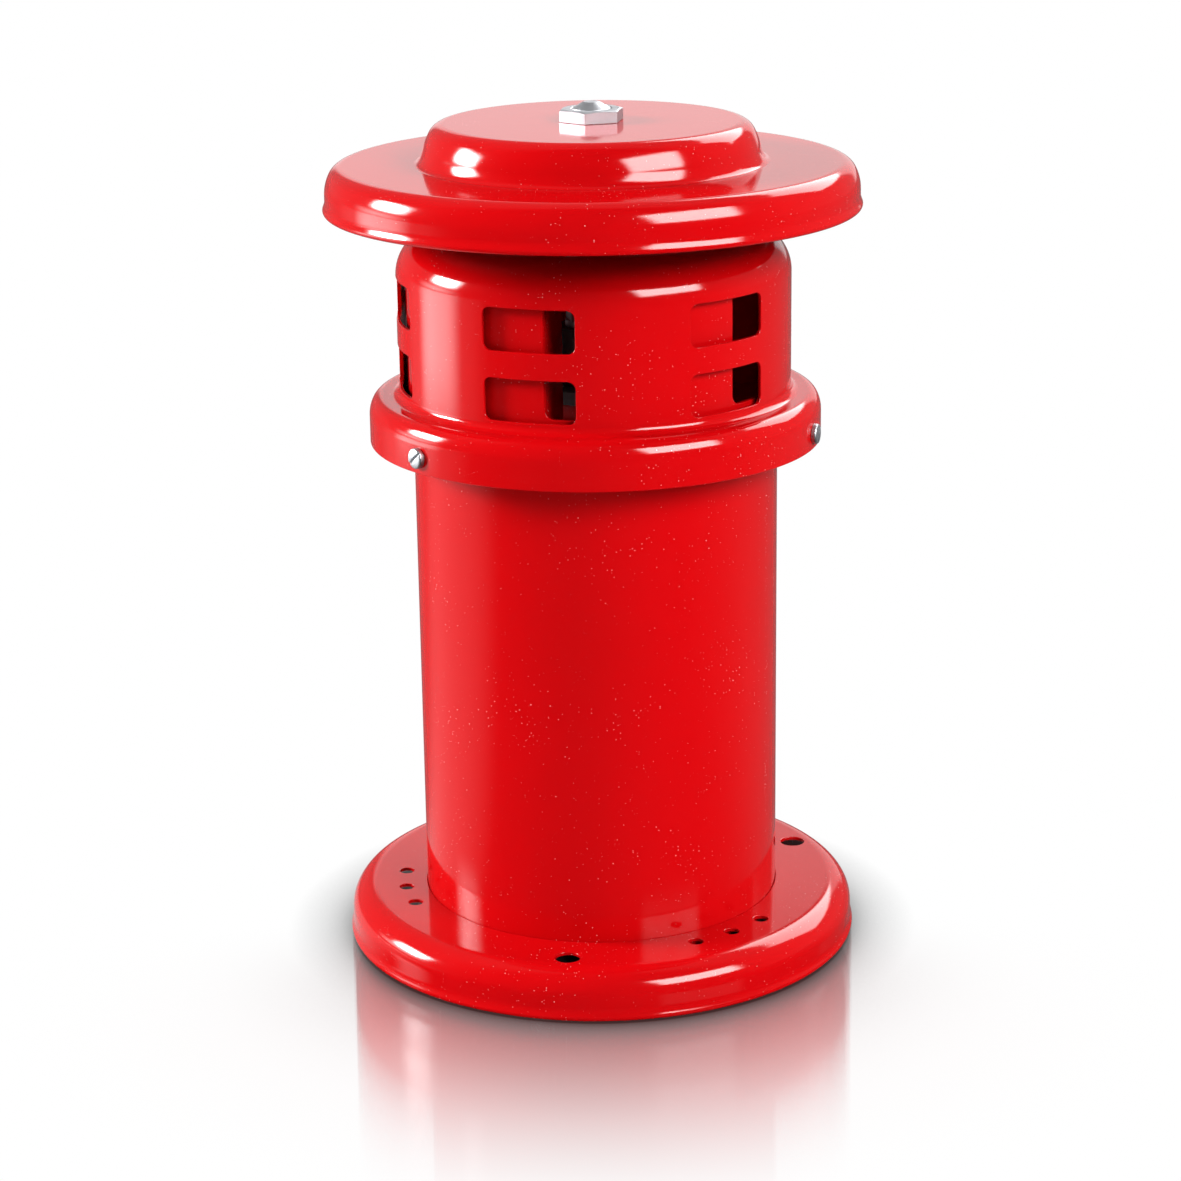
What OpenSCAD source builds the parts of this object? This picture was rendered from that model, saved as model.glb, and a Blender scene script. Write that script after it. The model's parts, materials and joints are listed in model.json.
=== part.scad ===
// Motor-driven rotary alarm siren: flanged base, motor tube, chopper housing, ported rotor, rain cap.
// Millimetres, +Z up, origin on the axis at the underside of the base.
// A bearing of 0 degrees faces -Y, and bearings grow towards +X.

/* [Pressed steel] */
// Thickness of the base, housing and cap sheet
sheet_t = 1.2; // [0.8:0.1:1.6]
// Radius of the bead rolled along the lower edge of the base and cap
bead_r = 1.3; // [1:0.1:1.6]
// How far the bead stands out from the skirt
bead_out = 1.4; // [0.6:0.1:2]
// Height over which the skirt flares out to its bead
flare_h = 4; // [3:0.5:6]

/* [Base] */
// Width of the base round the tube
base_w = 24.5; // [23:0.1:40]
// Height of the base
base_h = 15.5; // [15.5:0.5:20]
// Radius of the base's top edge
base_edge_r = 8; // [3:0.5:9]
// Distance of the mounting holes from the tube
mount_set = 12; // [11:0.1:14]
// Diameter of a mounting hole
mount_hole_d = 7.8; // [5:0.1:9]
// Number of mounting holes
mount_count = 3; // [3:1:4]
// Turn of the base's holes from the housing's windows
base_turn = 10; // [0:1:119]
// Distance of the drain holes from the tube
drain_set = 7.2; // [6.8:0.1:9]
// Diameter of a drain hole
drain_hole_d = 4.6; // [3:0.1:5]
// Bearing of a drain group's middle hole from its mounting hole
drain_turn = 48; // [30:1:60]
// Step between the holes of a drain group
drain_step = 12.2; // [9:0.1:14]

/* [Motor tube] */
// Outer diameter of the tube
tube_d = 114; // [112:0.2:150]
// Wall of the tube
tube_wall = 1.5; // [1:0.1:2]
// Height of tube that shows between base and collar
tube_show = 148.3; // [132:0.1:240]
// Width of the flange turned out at the tube's foot
foot_w = 4; // [3:0.5:4.5]

/* [Chopper housing] */
// How far the collar stands out from the tube
collar_w = 13.6; // [12.6:0.1:18]
// Height of the collar
collar_h = 14.7; // [13.9:0.1:18]
// Radius of the collar's top edge
collar_edge_r = 6; // [3:0.5:6]
// Radius of the hollow between collar and drum
collar_hollow_r = 2.5; // [1:0.5:3]
// Width of the step from the collar in to the drum
collar_step = 9.4; // [8.6:0.1:10.4]
// Height of the drum above the collar
drum_h = 51; // [48:0.1:64]
// Radius of the drum's top edge
drum_edge_r = 13.5; // [8:0.5:14]
// Width of the drum's top round the air inlet
inlet_w = 21.2; // [20.8:0.1:28]
// Number of window columns
window_columns = 6; // [5:1:6]
// Width of a window
window_w = 28.6; // [20:0.1:36]
// Height of a window
window_h = 13; // [9:0.5:14]
// Corner radius of a window
window_corner_r = 2.4; // [1:0.2:4]
// Height of the lower row's middle above the collar
window_row_z = 9.6; // [9.2:0.1:12]
// Step between the two rows of windows
window_row_step = 21.1; // [16:0.1:22]
// Height of the collar screws above the collar's lower edge
collar_screw_z = 4.9; // [4:0.1:6]
// Thread diameter of the collar screws
collar_screw_d = 3.9; // [2.9:0.1:4.9]
// Number of collar screws
collar_screw_count = 3; // [3:1:4]

/* [Rotor] */
// Running gap between rotor and housing
rotor_gap = 1.8; // [1.2:0.1:4]
// Sheet of the rotor drum and its vanes
rotor_t = 1.5; // [1:0.1:2]
// Radius of the rotor's top edge
rotor_edge_r = 11.5; // [8:0.5:12]
// Radius of the rotor's floor edge
rotor_floor_edge_r = 4; // [2:0.5:5]
// Gap under the rotor's floor
rotor_floor_gap = 3; // [2.5:0.1:4]
// Gap over the rotor's rim
rotor_rim_gap = 2.3; // [2:0.1:4]
// How far the rotor's eye lies inside the air inlet
eye_set = 2.5; // [1:0.5:8]
// Width of a rotor port
port_w = 28.2; // [18:0.2:30]
// Height of a rotor port
port_h = 36.7; // [20:0.1:38]
// Height of a port's lower edge above the collar's top
port_z = 3.8; // [3:0.1:6]
// Corner radius of a port
port_corner_r = 3.2; // [1:0.2:4]
// Turn of the rotor from the windows at rest
rotor_turn = 18; // [0:1:59]

/* [Rain cap] */
// Overhang of the cap past the drum
brim_out = 20.8; // [17:0.1:40]
// Gap between the housing's top and the cap's lower edge
brim_gap = 6.3; // [5:0.1:12]
// Height of the brim
brim_h = 14.2; // [11:0.2:18]
// Radius of the brim's top edge
brim_edge_r = 6.5; // [3:0.5:8]
// Width of the brim from the crown's foot to the skirt
brim_w = 29.2; // [16:0.1:36]
// Height of the crown
crown_h = 12.2; // [11:0.2:20]
// Lean of the crown's wall
crown_lean = 17; // [5:1:25]
// Radius of the crown's top edge
crown_edge_r = 5.5; // [3:0.5:6]
// Radius of the hollow at the crown's foot
crown_hollow_r = 2.5; // [1:0.5:4]
// Thread diameter of the stud that holds the cap
stud_d = 11.8; // [8:0.2:12]
// Width across the flats of the cap nut
cap_nut_w = 18; // [17:0.5:24]
// Height of the cap nut
cap_nut_h = 3.8; // [3.5:0.1:10]
// Turn of the cap nut
cap_nut_turn = 8; // [0:1:59]
// Height of the stud's tapered end above its nut
stud_end_h = 2; // [1:0.1:4]

/* [Motor] */
// Length of the lamination stack
stack_l = 52; // [40:0.2:64]
// Gap between field core and tube
core_gap = 3.5; // [2:0.1:4.5]
// Bore between the field poles
field_bore_d = 55.2; // [46:0.2:62]
// Air gap between armature and poles
air_gap = 0.5; // [0.4:0.1:1]
// Number of armature slots
slot_count = 12; // [8:1:12]
// Diameter of the commutator
commutator_d = 28; // [23:0.2:34]
// Number of commutator bars
bar_count = 24; // [12:1:24]
// Height of the field core above the lower bracket's plate
core_rise = 57.2; // [55:0.2:60]
// Thread diameter of the through bolts
bolt_d = 4.9; // [3.9:0.1:6]
// How far a brush can be pushed back
brush_travel = 5; // [2:0.5:6]

/* [Hidden] */
$fn = 96;
// Clearances: parts that slide in place, tight seats, and how far a cutter runs past its face
slip = 0.2;
seat = 0.02;
past = 1;
// Straight steps in a round stretch that leans
arc_steps = 12;
// Shares: bead height over its radius, rivet crown, nut height and width over its thread, stud's tip
bead_share = 0.8;
rivet_crown_share = 0.6;
nut_h_share = 0.8;
nut_w_share = 1.63;
stud_tip_share = 0.43;
// Slope of a nut's chamfer
nut_chamfer_a = 15;

// Radii, from the tube out to the base and up to the cap
tube_r = tube_d / 2;
tube_bore_r = tube_r - tube_wall;
base_r = tube_r + base_w;
mount_ring_r = tube_r + mount_set;
drain_ring_r = tube_r + drain_set;
collar_r = tube_r + collar_w;
drum_r = collar_r - collar_step;
inlet_r = drum_r - inlet_w;
rotor_r = drum_r - sheet_t - rotor_gap;
eye_r = inlet_r - eye_set;
brim_r = drum_r + brim_out;
crown_r = brim_r - brim_w;
stud_r = stud_d / 2;
field_bore_r = field_bore_d / 2;
armature_r = field_bore_r - air_gap;
commutator_r = commutator_d / 2;
yoke_w = 9;
core_r = tube_bore_r - core_gap;
yoke_bore_r = core_r - yoke_w;
bolt_ring_r = core_r - yoke_w / 2;

// Heights of the outer pieces, from the base up
foot_top = base_h - sheet_t;
foot_z = foot_top - tube_wall;
collar_z = base_h + tube_show;
collar_top = collar_z + collar_h;
drum_top = collar_top + drum_h;
brim_z = drum_top + brim_gap;
brim_top = brim_z + brim_h;
crown_top = brim_top + crown_h;
cap_nut_top = crown_top + cap_nut_h;

// Upper bracket: its top meets the start of the collar's rounded edge
plate_t = 4.5;
plate_top = collar_top - collar_edge_r;
tube_top = plate_top - plate_t;
rim_set = 1.2;
rim_r = collar_r - sheet_t - slip;
spigot_h = 4;
spigot_w = 2.5;
bolt_boss_r = 6.5;
upper_boss_h = 11;
bolt_head_r = 4.2;
bolt_head_h = 3.5;
bolt_sink = 4.3;
bolt_count = 4;
bolt_first = 45;
bolt_hole_r = bolt_d / 2 + slip;

// Lower bracket: its plate closes the tube's foot
lower_plate_t = 4;
lower_plate_z = foot_z - lower_plate_t;
lower_flange_set = 0.5;
lower_flange_r = tube_r + foot_w - lower_flange_set;
lower_boss_h = 6.2;
lower_boss_top = foot_z + lower_boss_h;
lower_hub_r = 17.5;

// Ball bearings as [bore radius, outer radius, width, ball radius]
upper_bearing = [6, 16, 10, 2.9];
lower_bearing = [5, 13, 8, 2.3];
ball_count = 7;
race_gap = 0.2;
race_wall_share = 0.28;
cage_w_share = 0.6;
cage_h_share = 2.4;
upper_bearing_seat_h = 6;
upper_bearing_top = plate_top - upper_bearing_seat_h;
upper_bearing_z = upper_bearing_top - upper_bearing[2];
upper_hub_r = 20.5;
lower_bearing_rise = 8;
lower_bearing_z = foot_z + lower_bearing_rise;
lower_bearing_top = lower_bearing_z + lower_bearing[2];
bearing_lip_w = 3;
bearing_spring_w = 2;
bearing_spring_h = 1;
bearing_spring_z = lower_bearing_z - bearing_spring_h;

// Shaft and rotor hub
journal_r = upper_bearing[0] - seat;
shoulder_r = 8;
shaft_gap = 1;
rotor_z = plate_top + rotor_floor_gap;
rotor_floor_top = rotor_z + rotor_t;
rotor_top = drum_top - sheet_t - rotor_rim_gap;
hub_drop = 1;
hub_z = rotor_z - hub_drop;
hub_r = 11;
hub_flange_r = 18;
hub_flange_h = 4;
hub_flange_top = rotor_floor_top + hub_flange_h;
hub_h = 22;
hub_top = rotor_floor_top + hub_h;
hub_bore_r = 5;
key_w = 3;
key_l = 12;
key_z = hub_flange_top;
hub_rivet_r = 1.6;
hub_rivet_ring_r = 14.5;
hub_rivet_count = 6;
rivet_head_h = 1.2;
washer_r = 9;
washer_h = 2;
rotor_nut_w = 16;
rotor_nut_h = 8;
rotor_nut_z = hub_top + washer_h;
shaft_past_nut = 3;
shaft_top = rotor_nut_z + rotor_nut_h + shaft_past_nut;
shaft_past_bearing = 2;
shaft_z = lower_bearing_z - shaft_past_bearing;
port_half_angle = asin(port_w / 2 / rotor_r);

// Cap carrier: spider over the inlet, with a welded nut for the stud
spider_t = 2;
spider_top = drum_top + spider_t;
spider_hub_r = 16;
spider_arm_w = 12;
spider_arm_count = 3;
spider_rivet_r = 1.9;
spider_rivet_head_r = 3.4;
spider_rivet_set = 3.8;
spider_rivet_ring_r = inlet_r + spider_rivet_set;
spider_end_w = 2.7;
spider_reach_r = spider_rivet_ring_r + spider_end_w;
stud_hole_r = stud_r + slip;
stud_nut_h = 10;
stud_nut_z = drum_top - stud_nut_h;
spacer_r = 10;

// Motor: field, armature and commutator
core_z = foot_z + core_rise;
core_top = core_z + stack_l;
pole_w = 26;
shoe_t = 5.4;
shoe_half_angle = 58;
coil_w = 52;
coil_gap = 0.4;
coil_end_h = 10;
coil_corner_r = 8;
slot_r = 3.2;
slot_set = 5.6;
slot_ring_r = armature_r - slot_set;
slot_mouth_w = 2;
winding_gap = 0.2;
end_turn_set = 2.6;
end_turn_r = armature_r - end_turn_set;
end_turn_h = 12;
end_turn_edge_r = 4;
shaft_insulation = 2;
commutator_rise = 20.2;
commutator_z = foot_z + commutator_rise;
commutator_l = 18;
commutator_top = commutator_z + commutator_l;
commutator_hub_r = 9;
riser_w = 3;
riser_r = commutator_r + riser_w;
riser_h = 2;
bar_gap = 0.5;

// Brush gear: a ring on two posts, with a box holder each side
brush_w = 6;
brush_h = 8;
brush_l = 14;
brush_face_gap = 0.2;
brush_z = commutator_z + commutator_l / 2;
brush_back_r = commutator_r + brush_face_gap + brush_l;
holder_wall = 1.6;
holder_gap = 2.5;
spring_shut_l = 7;
holder_inner_r = commutator_r + holder_gap;
holder_outer_r = brush_back_r + brush_travel + spring_shut_l;
holder_w = brush_w + 2 * (slip + holder_wall);
holder_h = brush_h + 2 * (slip + holder_wall);
holder_z = brush_z - holder_h / 2;
brush_cap_t = 2.5;
yoke_ring_t = 5;
yoke_ring_z = holder_z - yoke_ring_t;
yoke_ring_gap = 4;
yoke_ring_w = 12;
yoke_ring_bore_r = riser_r + yoke_ring_gap;
yoke_ring_r = yoke_ring_bore_r + yoke_ring_w;
post_ring_r = yoke_ring_bore_r + yoke_ring_w / 2;
post_r = 4;
post_screw_r = 1.95;
post_screw_head_r = 3.4;
post_screw_head_h = 2.5;
spring_r = 2.3;
spring_wire_r = 0.35;
spring_turns = 7;
spring_rings = 8;
spring_sides = 6;

// Wiring: terminal block under the lower bracket, leads up to the field coils, links to the brushes
lead_r = 1.2;
lead_sides = 8;
lead_x = 14;
coil_middle_r = (field_bore_r + shoe_t + yoke_bore_r) / 2;
lead_y = sqrt(coil_middle_r * coil_middle_r - lead_x * lead_x);
terminal_w = 38;
terminal_l = 16;
terminal_h = 7;
terminal_z = lower_plate_z - terminal_h;
terminal_pocket = 4;
terminal_screw_set = 5;
terminal_screw_y = lead_y - terminal_screw_set;
terminal_screw_r = 1.4;
terminal_head_r = 2.5;
terminal_head_h = 1.6;
terminal_screw_l = 5;
grommet_r = 3.4;
grommet_flange_r = 5;
grommet_flange_h = 1.5;
coil_foot_z = core_z - coil_end_h;
holder_top = holder_z + holder_h;
link_x = (holder_inner_r + holder_outer_r) / 2;
link_rise = 3;
link_start = [lead_x, -lead_y, coil_foot_z];
link_turn_a = [lead_x, -lead_y, holder_top + 2 * link_rise];
link_bend = [22, -16];
link_turn_b = [link_bend[0], link_bend[1], holder_top + link_rise];
link_turn_c = [link_x, 0, holder_top + link_rise];
link_end = [link_x, 0, holder_top];

// Collar screws
screw_head_r = 3.15;
screw_head_h = 2;
screw_head_edge_r = 0.7;
screw_slot_w = 0.9;
screw_slot_d = 0.9;
screw_l = 9;
screw_slot_turns = [40, 85, 20, 60];
screw_first = -30;

enamel = [0.78, 0.05, 0.07];
zinc = [0.78, 0.79, 0.8];
cast = [0.66, 0.67, 0.68];
steel = [0.55, 0.56, 0.58];
lamination = [0.36, 0.36, 0.38];
copper = [0.72, 0.4, 0.2];
varnish = [0.5, 0.22, 0.1];
bakelite = [0.2, 0.11, 0.07];
carbon = [0.1, 0.1, 0.11];
brass = [0.78, 0.62, 0.3];
rubber = [0.08, 0.08, 0.08];
lead_colour = [0.15, 0.15, 0.17];

// Copies its children evenly round the axis, the first one at the given bearing
module around(count, first = 0) {
    for (i = [0 : count - 1]) {
        rotate(first + i * 360 / count) children();
    }
}

// Moves its children out along a bearing of 0 degrees
module out(r, z = 0) {
    translate([0, -r, z]) children();
}

// Turns a flat shape in X and Y to stand upright, and pushes it out from one radius to another
module push_out(r_from, r_to) {
    rotate([90, 0, 0]) translate([0, 0, r_from]) linear_extrude(r_to - r_from) children();
}

module ring(r_out, r_in, z, h) {
    translate([0, 0, z]) difference() {
        cylinder(r = r_out, h = h);
        translate([0, 0, -past]) cylinder(r = r_in, h = h + 2 * past);
    }
}

module rounded_rect(w, h, r) {
    square([w - 2 * r, h], center = true);
    square([w, h - 2 * r], center = true);
    for (x = [-1, 1], y = [-1, 1]) {
        translate([x * (w / 2 - r), y * (h / 2 - r)]) circle(r);
    }
}

// Half outline of a drum from the axis out, with a rounded top edge and, if wanted, a rounded lower edge
module drum_outline(r, bottom, top, edge_r, floor_edge_r = 0) {
    intersection() {
        union() {
            translate([0, bottom + floor_edge_r]) square([r, top - edge_r - bottom - floor_edge_r]);
            translate([0, bottom]) square([r - max(edge_r, floor_edge_r), top - bottom]);
            translate([0, top - 2 * edge_r]) square([r - edge_r, 2 * edge_r]);
            translate([r - edge_r, top - edge_r]) circle(edge_r);
            if (floor_edge_r > 0) {
                translate([0, bottom]) square([r - floor_edge_r, 2 * floor_edge_r]);
                translate([r - floor_edge_r, bottom + floor_edge_r]) circle(floor_edge_r);
            }
        }
        translate([0, bottom]) square([r, top - bottom]);
    }
}

// Flared lower edge of a pressed skirt, ending in a rolled bead that is flat underneath
module rolled_edge(r, z) {
    bead_z = z + bead_r * bead_share;
    bead_x = r + bead_out - bead_r;
    difference() {
        union() {
            translate([bead_x, bead_z]) circle(bead_r);
            polygon([
                [bead_x - bead_r, bead_z], [r + bead_out, bead_z],
                [r, z + flare_h], [r - sheet_t, z + flare_h]
            ]);
        }
        translate([0, z - bead_r]) square([2 * r, bead_r]);
    }
}

// Fills the inner corner between a floor at height z and an upright wall of radius r
module corner_hollow(r, z, hollow_r) {
    difference() {
        translate([r - sheet_t / 2, z - sheet_t / 2]) square(hollow_r + sheet_t / 2);
        translate([r + hollow_r, z + hollow_r]) circle(hollow_r);
    }
}

// Hex nut standing on z, chamfered on top
module hex_nut(width, h, bore_r, z) {
    corner_r = width / 2 / cos(30);
    chamfer_h = (corner_r - width / 2) * tan(nut_chamfer_a);
    translate([0, 0, z]) difference() {
        intersection() {
            cylinder(r = corner_r, h = h, $fn = 6);
            rotate_extrude() polygon([
                [0, 0], [corner_r + past, 0], [corner_r + past, h - chamfer_h - past * tan(nut_chamfer_a)],
                [width / 2, h], [0, h]
            ]);
        }
        translate([0, 0, -past]) cylinder(r = bore_r, h = h + 2 * past);
    }
}

// Cutter for a screwdriver slot across a head whose top is at height z
module screw_slot(head_r, z) {
    translate([-head_r - past, -screw_slot_w / 2, z - screw_slot_d])
        cube([2 * (head_r + past), screw_slot_w, screw_slot_d + past]);
}

// Rivet through two sheets, with a low domed head on each side
module rivet(shank_r, head_r, z_from, z_to) {
    translate([0, 0, z_from]) cylinder(r = shank_r, h = z_to - z_from);
    translate([0, 0, z_to]) cylinder(r1 = head_r, r2 = head_r * rivet_crown_share, h = rivet_head_h);
    translate([0, 0, z_from - rivet_head_h])
        cylinder(r1 = head_r * rivet_crown_share, r2 = head_r, h = rivet_head_h);
}

// Round tube swept along a list of points by one closed skin, with a ring of corners at each point
function along(points, i) =
    let (last = len(points) - 1, step = points[min(i + 1, last)] - points[max(i - 1, 0)])
    step / norm(step);
function across(direction) =
    let (x = [1, 0, 0], y = [0, 1, 0], side = cross(direction, abs(direction[0]) > abs(direction[1]) ? y : x))
    side / norm(side);
module swept_tube(points, r, sides) {
    rings = len(points);
    corners = [
        for (i = [0 : rings - 1])
            let (w = along(points, i), u = across(w), v = cross(w, u))
            for (s = [0 : sides - 1])
                points[i] + r * (cos(360 * s / sides) * u + sin(360 * s / sides) * v)
    ];
    skin = [
        for (i = [0 : rings - 2], s = [0 : sides - 1])
            let (a = i * sides + s, b = i * sides + (s + 1) % sides)
            for (face = [[a, a + sides, b + sides], [a, b + sides, b]]) face
    ];
    first_end = [for (s = [1 : sides - 2]) [0, s, s + 1]];
    top = (rings - 1) * sides;
    last_end = [for (s = [1 : sides - 2]) [top, top + s + 1, top + s]];
    polyhedron(points = corners, faces = concat(skin, first_end, last_end), convexity = 6);
}

// Base and motor tube

module base_flange() {
    color(enamel) difference() {
        rotate_extrude() {
            difference() {
                drum_outline(base_r, 0, base_h, base_edge_r);
                drum_outline(base_r - sheet_t, -past, base_h - sheet_t, base_edge_r - sheet_t);
                square([tube_r + seat, base_h + past]);
                square([base_r + past, bead_r]);
            }
            rolled_edge(base_r, 0);
        }
        around(mount_count, base_turn) out(mount_ring_r) cylinder(d = mount_hole_d, h = base_h + past);
        around(mount_count, base_turn + drain_turn) {
            for (i = [-1 : 1]) {
                rotate(i * drain_step) out(drain_ring_r) cylinder(d = drain_hole_d, h = base_h + past);
            }
        }
    }
}

module motor_tube() {
    color(enamel) {
        difference() {
            union() {
                translate([0, 0, foot_z]) cylinder(r = tube_r, h = tube_top - foot_z);
                translate([0, 0, foot_z]) cylinder(r = tube_r + foot_w, h = tube_wall);
            }
            translate([0, 0, foot_z - past]) cylinder(r = tube_bore_r, h = tube_top - foot_z + 2 * past);
        }
    }
}

// Motor brackets and what clamps them

module bolt_holes(r, z, h) {
    around(bolt_count, bolt_first) out(bolt_ring_r, z) cylinder(r = r, h = h);
}

module lower_bracket() {
    color(cast) difference() {
        union() {
            translate([0, 0, lower_plate_z]) cylinder(r = lower_flange_r, h = lower_plate_t);
            ring(tube_bore_r - slip, tube_bore_r - slip - spigot_w, foot_z - past, spigot_h + past);
            translate([0, 0, lower_plate_z]) cylinder(r = lower_hub_r, h = lower_bearing_top - lower_plate_z);
            bolt_holes(bolt_boss_r, foot_z - past, lower_boss_h + past);
        }
        translate([0, 0, bearing_spring_z]) cylinder(r = lower_bearing[1] + seat, h = lower_bearing_top);
        translate([0, 0, foot_z]) cylinder(r = lower_bearing[1] - bearing_lip_w, h = lower_bearing_top);
        bolt_holes(bolt_hole_r, lower_plate_z - past, lower_plate_t + lower_boss_h + 2 * past);
        for (x = [-1, 1]) {
            translate([x * lead_x, lead_y, lower_plate_z - past])
                cylinder(r = grommet_r + seat, h = lower_plate_t + 2 * past);
            out(x * post_ring_r, lower_plate_z - past)
                cylinder(r = post_screw_r + seat, h = lower_plate_t + 2 * past);
        }
        translate([0, lead_y, lower_plate_z - past])
            cylinder(r = terminal_screw_r + seat, h = lower_plate_t);
    }
}

module upper_bracket() {
    color(cast) difference() {
        union() {
            translate([0, 0, tube_top]) cylinder(r = rim_r, h = plate_t);
            ring(rim_r, tube_r + slip, collar_z + rim_set, tube_top - collar_z - rim_set + past);
            ring(tube_bore_r - slip, tube_bore_r - slip - spigot_w, tube_top - spigot_h, spigot_h + past);
            translate([0, 0, upper_bearing_z]) cylinder(r = upper_hub_r, h = plate_top - upper_bearing_z);
            bolt_holes(bolt_boss_r, plate_top - upper_boss_h, upper_boss_h);
        }
        translate([0, 0, upper_bearing_z - past])
            cylinder(r = upper_bearing[1] + seat, h = upper_bearing[2] + past);
        translate([0, 0, upper_bearing_z]) cylinder(r = journal_r + shaft_gap, h = plate_top);
        bolt_holes(bolt_hole_r, plate_top - upper_boss_h - past, upper_boss_h + 2 * past);
        bolt_holes(bolt_head_r + slip, plate_top - bolt_sink, bolt_sink + past);
        around(collar_screw_count, screw_first) {
            out(0, collar_z + collar_screw_z) rotate([90, 0, 0]) translate([0, 0, rim_r - screw_l])
                cylinder(d = collar_screw_d + 2 * seat, h = screw_l + past);
        }
    }
}

module through_bolts() {
    bolt_z = lower_plate_z - bolt_d;
    head_z = plate_top - bolt_sink;
    color(zinc) around(bolt_count, bolt_first) out(bolt_ring_r) {
        translate([0, 0, bolt_z]) cylinder(d = bolt_d, h = head_z - bolt_z + past);
        difference() {
            translate([0, 0, head_z]) cylinder(r = bolt_head_r, h = bolt_head_h);
            screw_slot(bolt_head_r, head_z + bolt_head_h);
        }
    }
}

module through_bolt_nuts() {
    nut_h = bolt_d * nut_h_share;
    color(zinc) around(bolt_count, bolt_first) out(bolt_ring_r)
        hex_nut(bolt_d * nut_w_share, nut_h, bolt_d / 2 + seat, lower_plate_z - nut_h);
}

module core_sleeves() {
    sleeve_r = yoke_w / 2 - coil_gap;
    upper_end = plate_top - upper_boss_h;
    color(steel) around(bolt_count, bolt_first) out(bolt_ring_r) {
        ring(sleeve_r, bolt_hole_r, lower_boss_top, core_z - lower_boss_top);
        ring(sleeve_r, bolt_hole_r, core_top, upper_end - core_top);
    }
}

// Field

module pole_wedge() {
    reach = 2 * core_r;
    polygon([
        [0, 0], [-reach * sin(shoe_half_angle), -reach * cos(shoe_half_angle)],
        [0, -reach], [reach * sin(shoe_half_angle), -reach * cos(shoe_half_angle)]
    ]);
}

module field_core() {
    color(lamination) difference() {
        translate([0, 0, core_z]) linear_extrude(stack_l) difference() {
            union() {
                difference() {
                    circle(core_r);
                    circle(yoke_bore_r);
                }
                for (turn = [0, 180]) {
                    rotate(turn) {
                        intersection() {
                            circle(field_bore_r + shoe_t);
                            pole_wedge();
                        }
                        translate([-pole_w / 2, -yoke_bore_r - past])
                            square([pole_w, yoke_bore_r + past - field_bore_r]);
                    }
                }
            }
            circle(field_bore_r);
        }
        bolt_holes(bolt_hole_r, core_z - past, stack_l + 2 * past);
    }
}

module field_coils() {
    loop_h = stack_l + 2 * coil_end_h;
    neck_w = pole_w + 2 * coil_gap;
    neck_h = stack_l + 2 * coil_gap;
    color(varnish) for (turn = [0, 180]) {
        rotate(turn) intersection() {
            ring(yoke_bore_r - coil_gap, field_bore_r + shoe_t + coil_gap, coil_foot_z, loop_h);
            push_out(0, core_r) translate([0, core_z + stack_l / 2]) difference() {
                rounded_rect(coil_w, loop_h, coil_corner_r);
                square([neck_w, neck_h], center = true);
            }
        }
    }
}

// Shaft and armature

module motor_shaft() {
    lower_journal_r = lower_bearing[0] - seat;
    color(steel) difference() {
        union() {
            translate([0, 0, shaft_z]) cylinder(r = lower_journal_r, h = lower_bearing_top - shaft_z + past);
            translate([0, 0, lower_bearing_top]) cylinder(r = journal_r, h = hub_z - lower_bearing_top);
            translate([0, 0, core_top]) cylinder(r = shoulder_r, h = upper_bearing_z - core_top);
            translate([0, 0, hub_z - past]) cylinder(r = hub_bore_r - seat, h = shaft_top - hub_z + past);
        }
        rotate(rotor_turn) translate([-key_w / 2, -hub_bore_r - past, key_z])
            cube([key_w, key_w / 2 + past, key_l]);
    }
}

module armature_slots(r, z, h) {
    around(slot_count) out(slot_ring_r, z) cylinder(r = r, h = h);
}

module armature_core() {
    color(lamination) difference() {
        translate([0, 0, core_z]) cylinder(r = armature_r, h = stack_l);
        translate([0, 0, core_z - past]) cylinder(r = journal_r + seat, h = stack_l + 2 * past);
        armature_slots(slot_r, core_z - past, stack_l + 2 * past);
        around(slot_count) translate([-slot_mouth_w / 2, -armature_r - past, core_z - past])
            cube([slot_mouth_w, armature_r + past - slot_ring_r, stack_l + 2 * past]);
    }
}

// Bundle of end turns that leaves a gap to the core and to the shaft
module end_turns() {
    inner_r = shoulder_r + shaft_insulation;
    rotate_extrude() translate([(inner_r + end_turn_r) / 2, end_turn_h / 2])
        rounded_rect(end_turn_r - inner_r, end_turn_h, end_turn_edge_r);
}

module armature_winding() {
    color(copper) {
        armature_slots(slot_r - winding_gap, core_z - end_turn_h / 2, stack_l + end_turn_h);
        translate([0, 0, core_z - end_turn_h - coil_gap]) end_turns();
        translate([0, 0, core_top + coil_gap]) end_turns();
    }
}

module commutator_hub() {
    color(bakelite) ring(commutator_hub_r, journal_r + seat, commutator_z - past, commutator_l + 2 * past);
}

module commutator_bars() {
    inner_r = commutator_hub_r + seat;
    bar_angle = 360 / bar_count - bar_gap / commutator_r * 180 / PI;
    color(copper) around(bar_count) rotate_extrude(angle = bar_angle) {
        translate([inner_r, commutator_z]) square([commutator_r - inner_r, commutator_l]);
        translate([inner_r, commutator_top - riser_h]) square([riser_r - inner_r, riser_h]);
    }
}

// Bearings

function pitch_r(bearing) = (bearing[0] + bearing[1]) / 2;
function ring_wall(bearing) = (bearing[1] - bearing[0]) * race_wall_share;

// Groove that the balls run in
module race(bearing) {
    rotate_extrude() translate([pitch_r(bearing), bearing[2] / 2]) circle(bearing[3] + race_gap);
}

module outer_ring(bearing, z) {
    color(steel) translate([0, 0, z]) difference() {
        ring(bearing[1], bearing[1] - ring_wall(bearing), 0, bearing[2]);
        race(bearing);
    }
}

module inner_ring(bearing, z) {
    color(steel) translate([0, 0, z]) difference() {
        ring(bearing[0] + ring_wall(bearing), bearing[0], 0, bearing[2]);
        race(bearing);
    }
}

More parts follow.
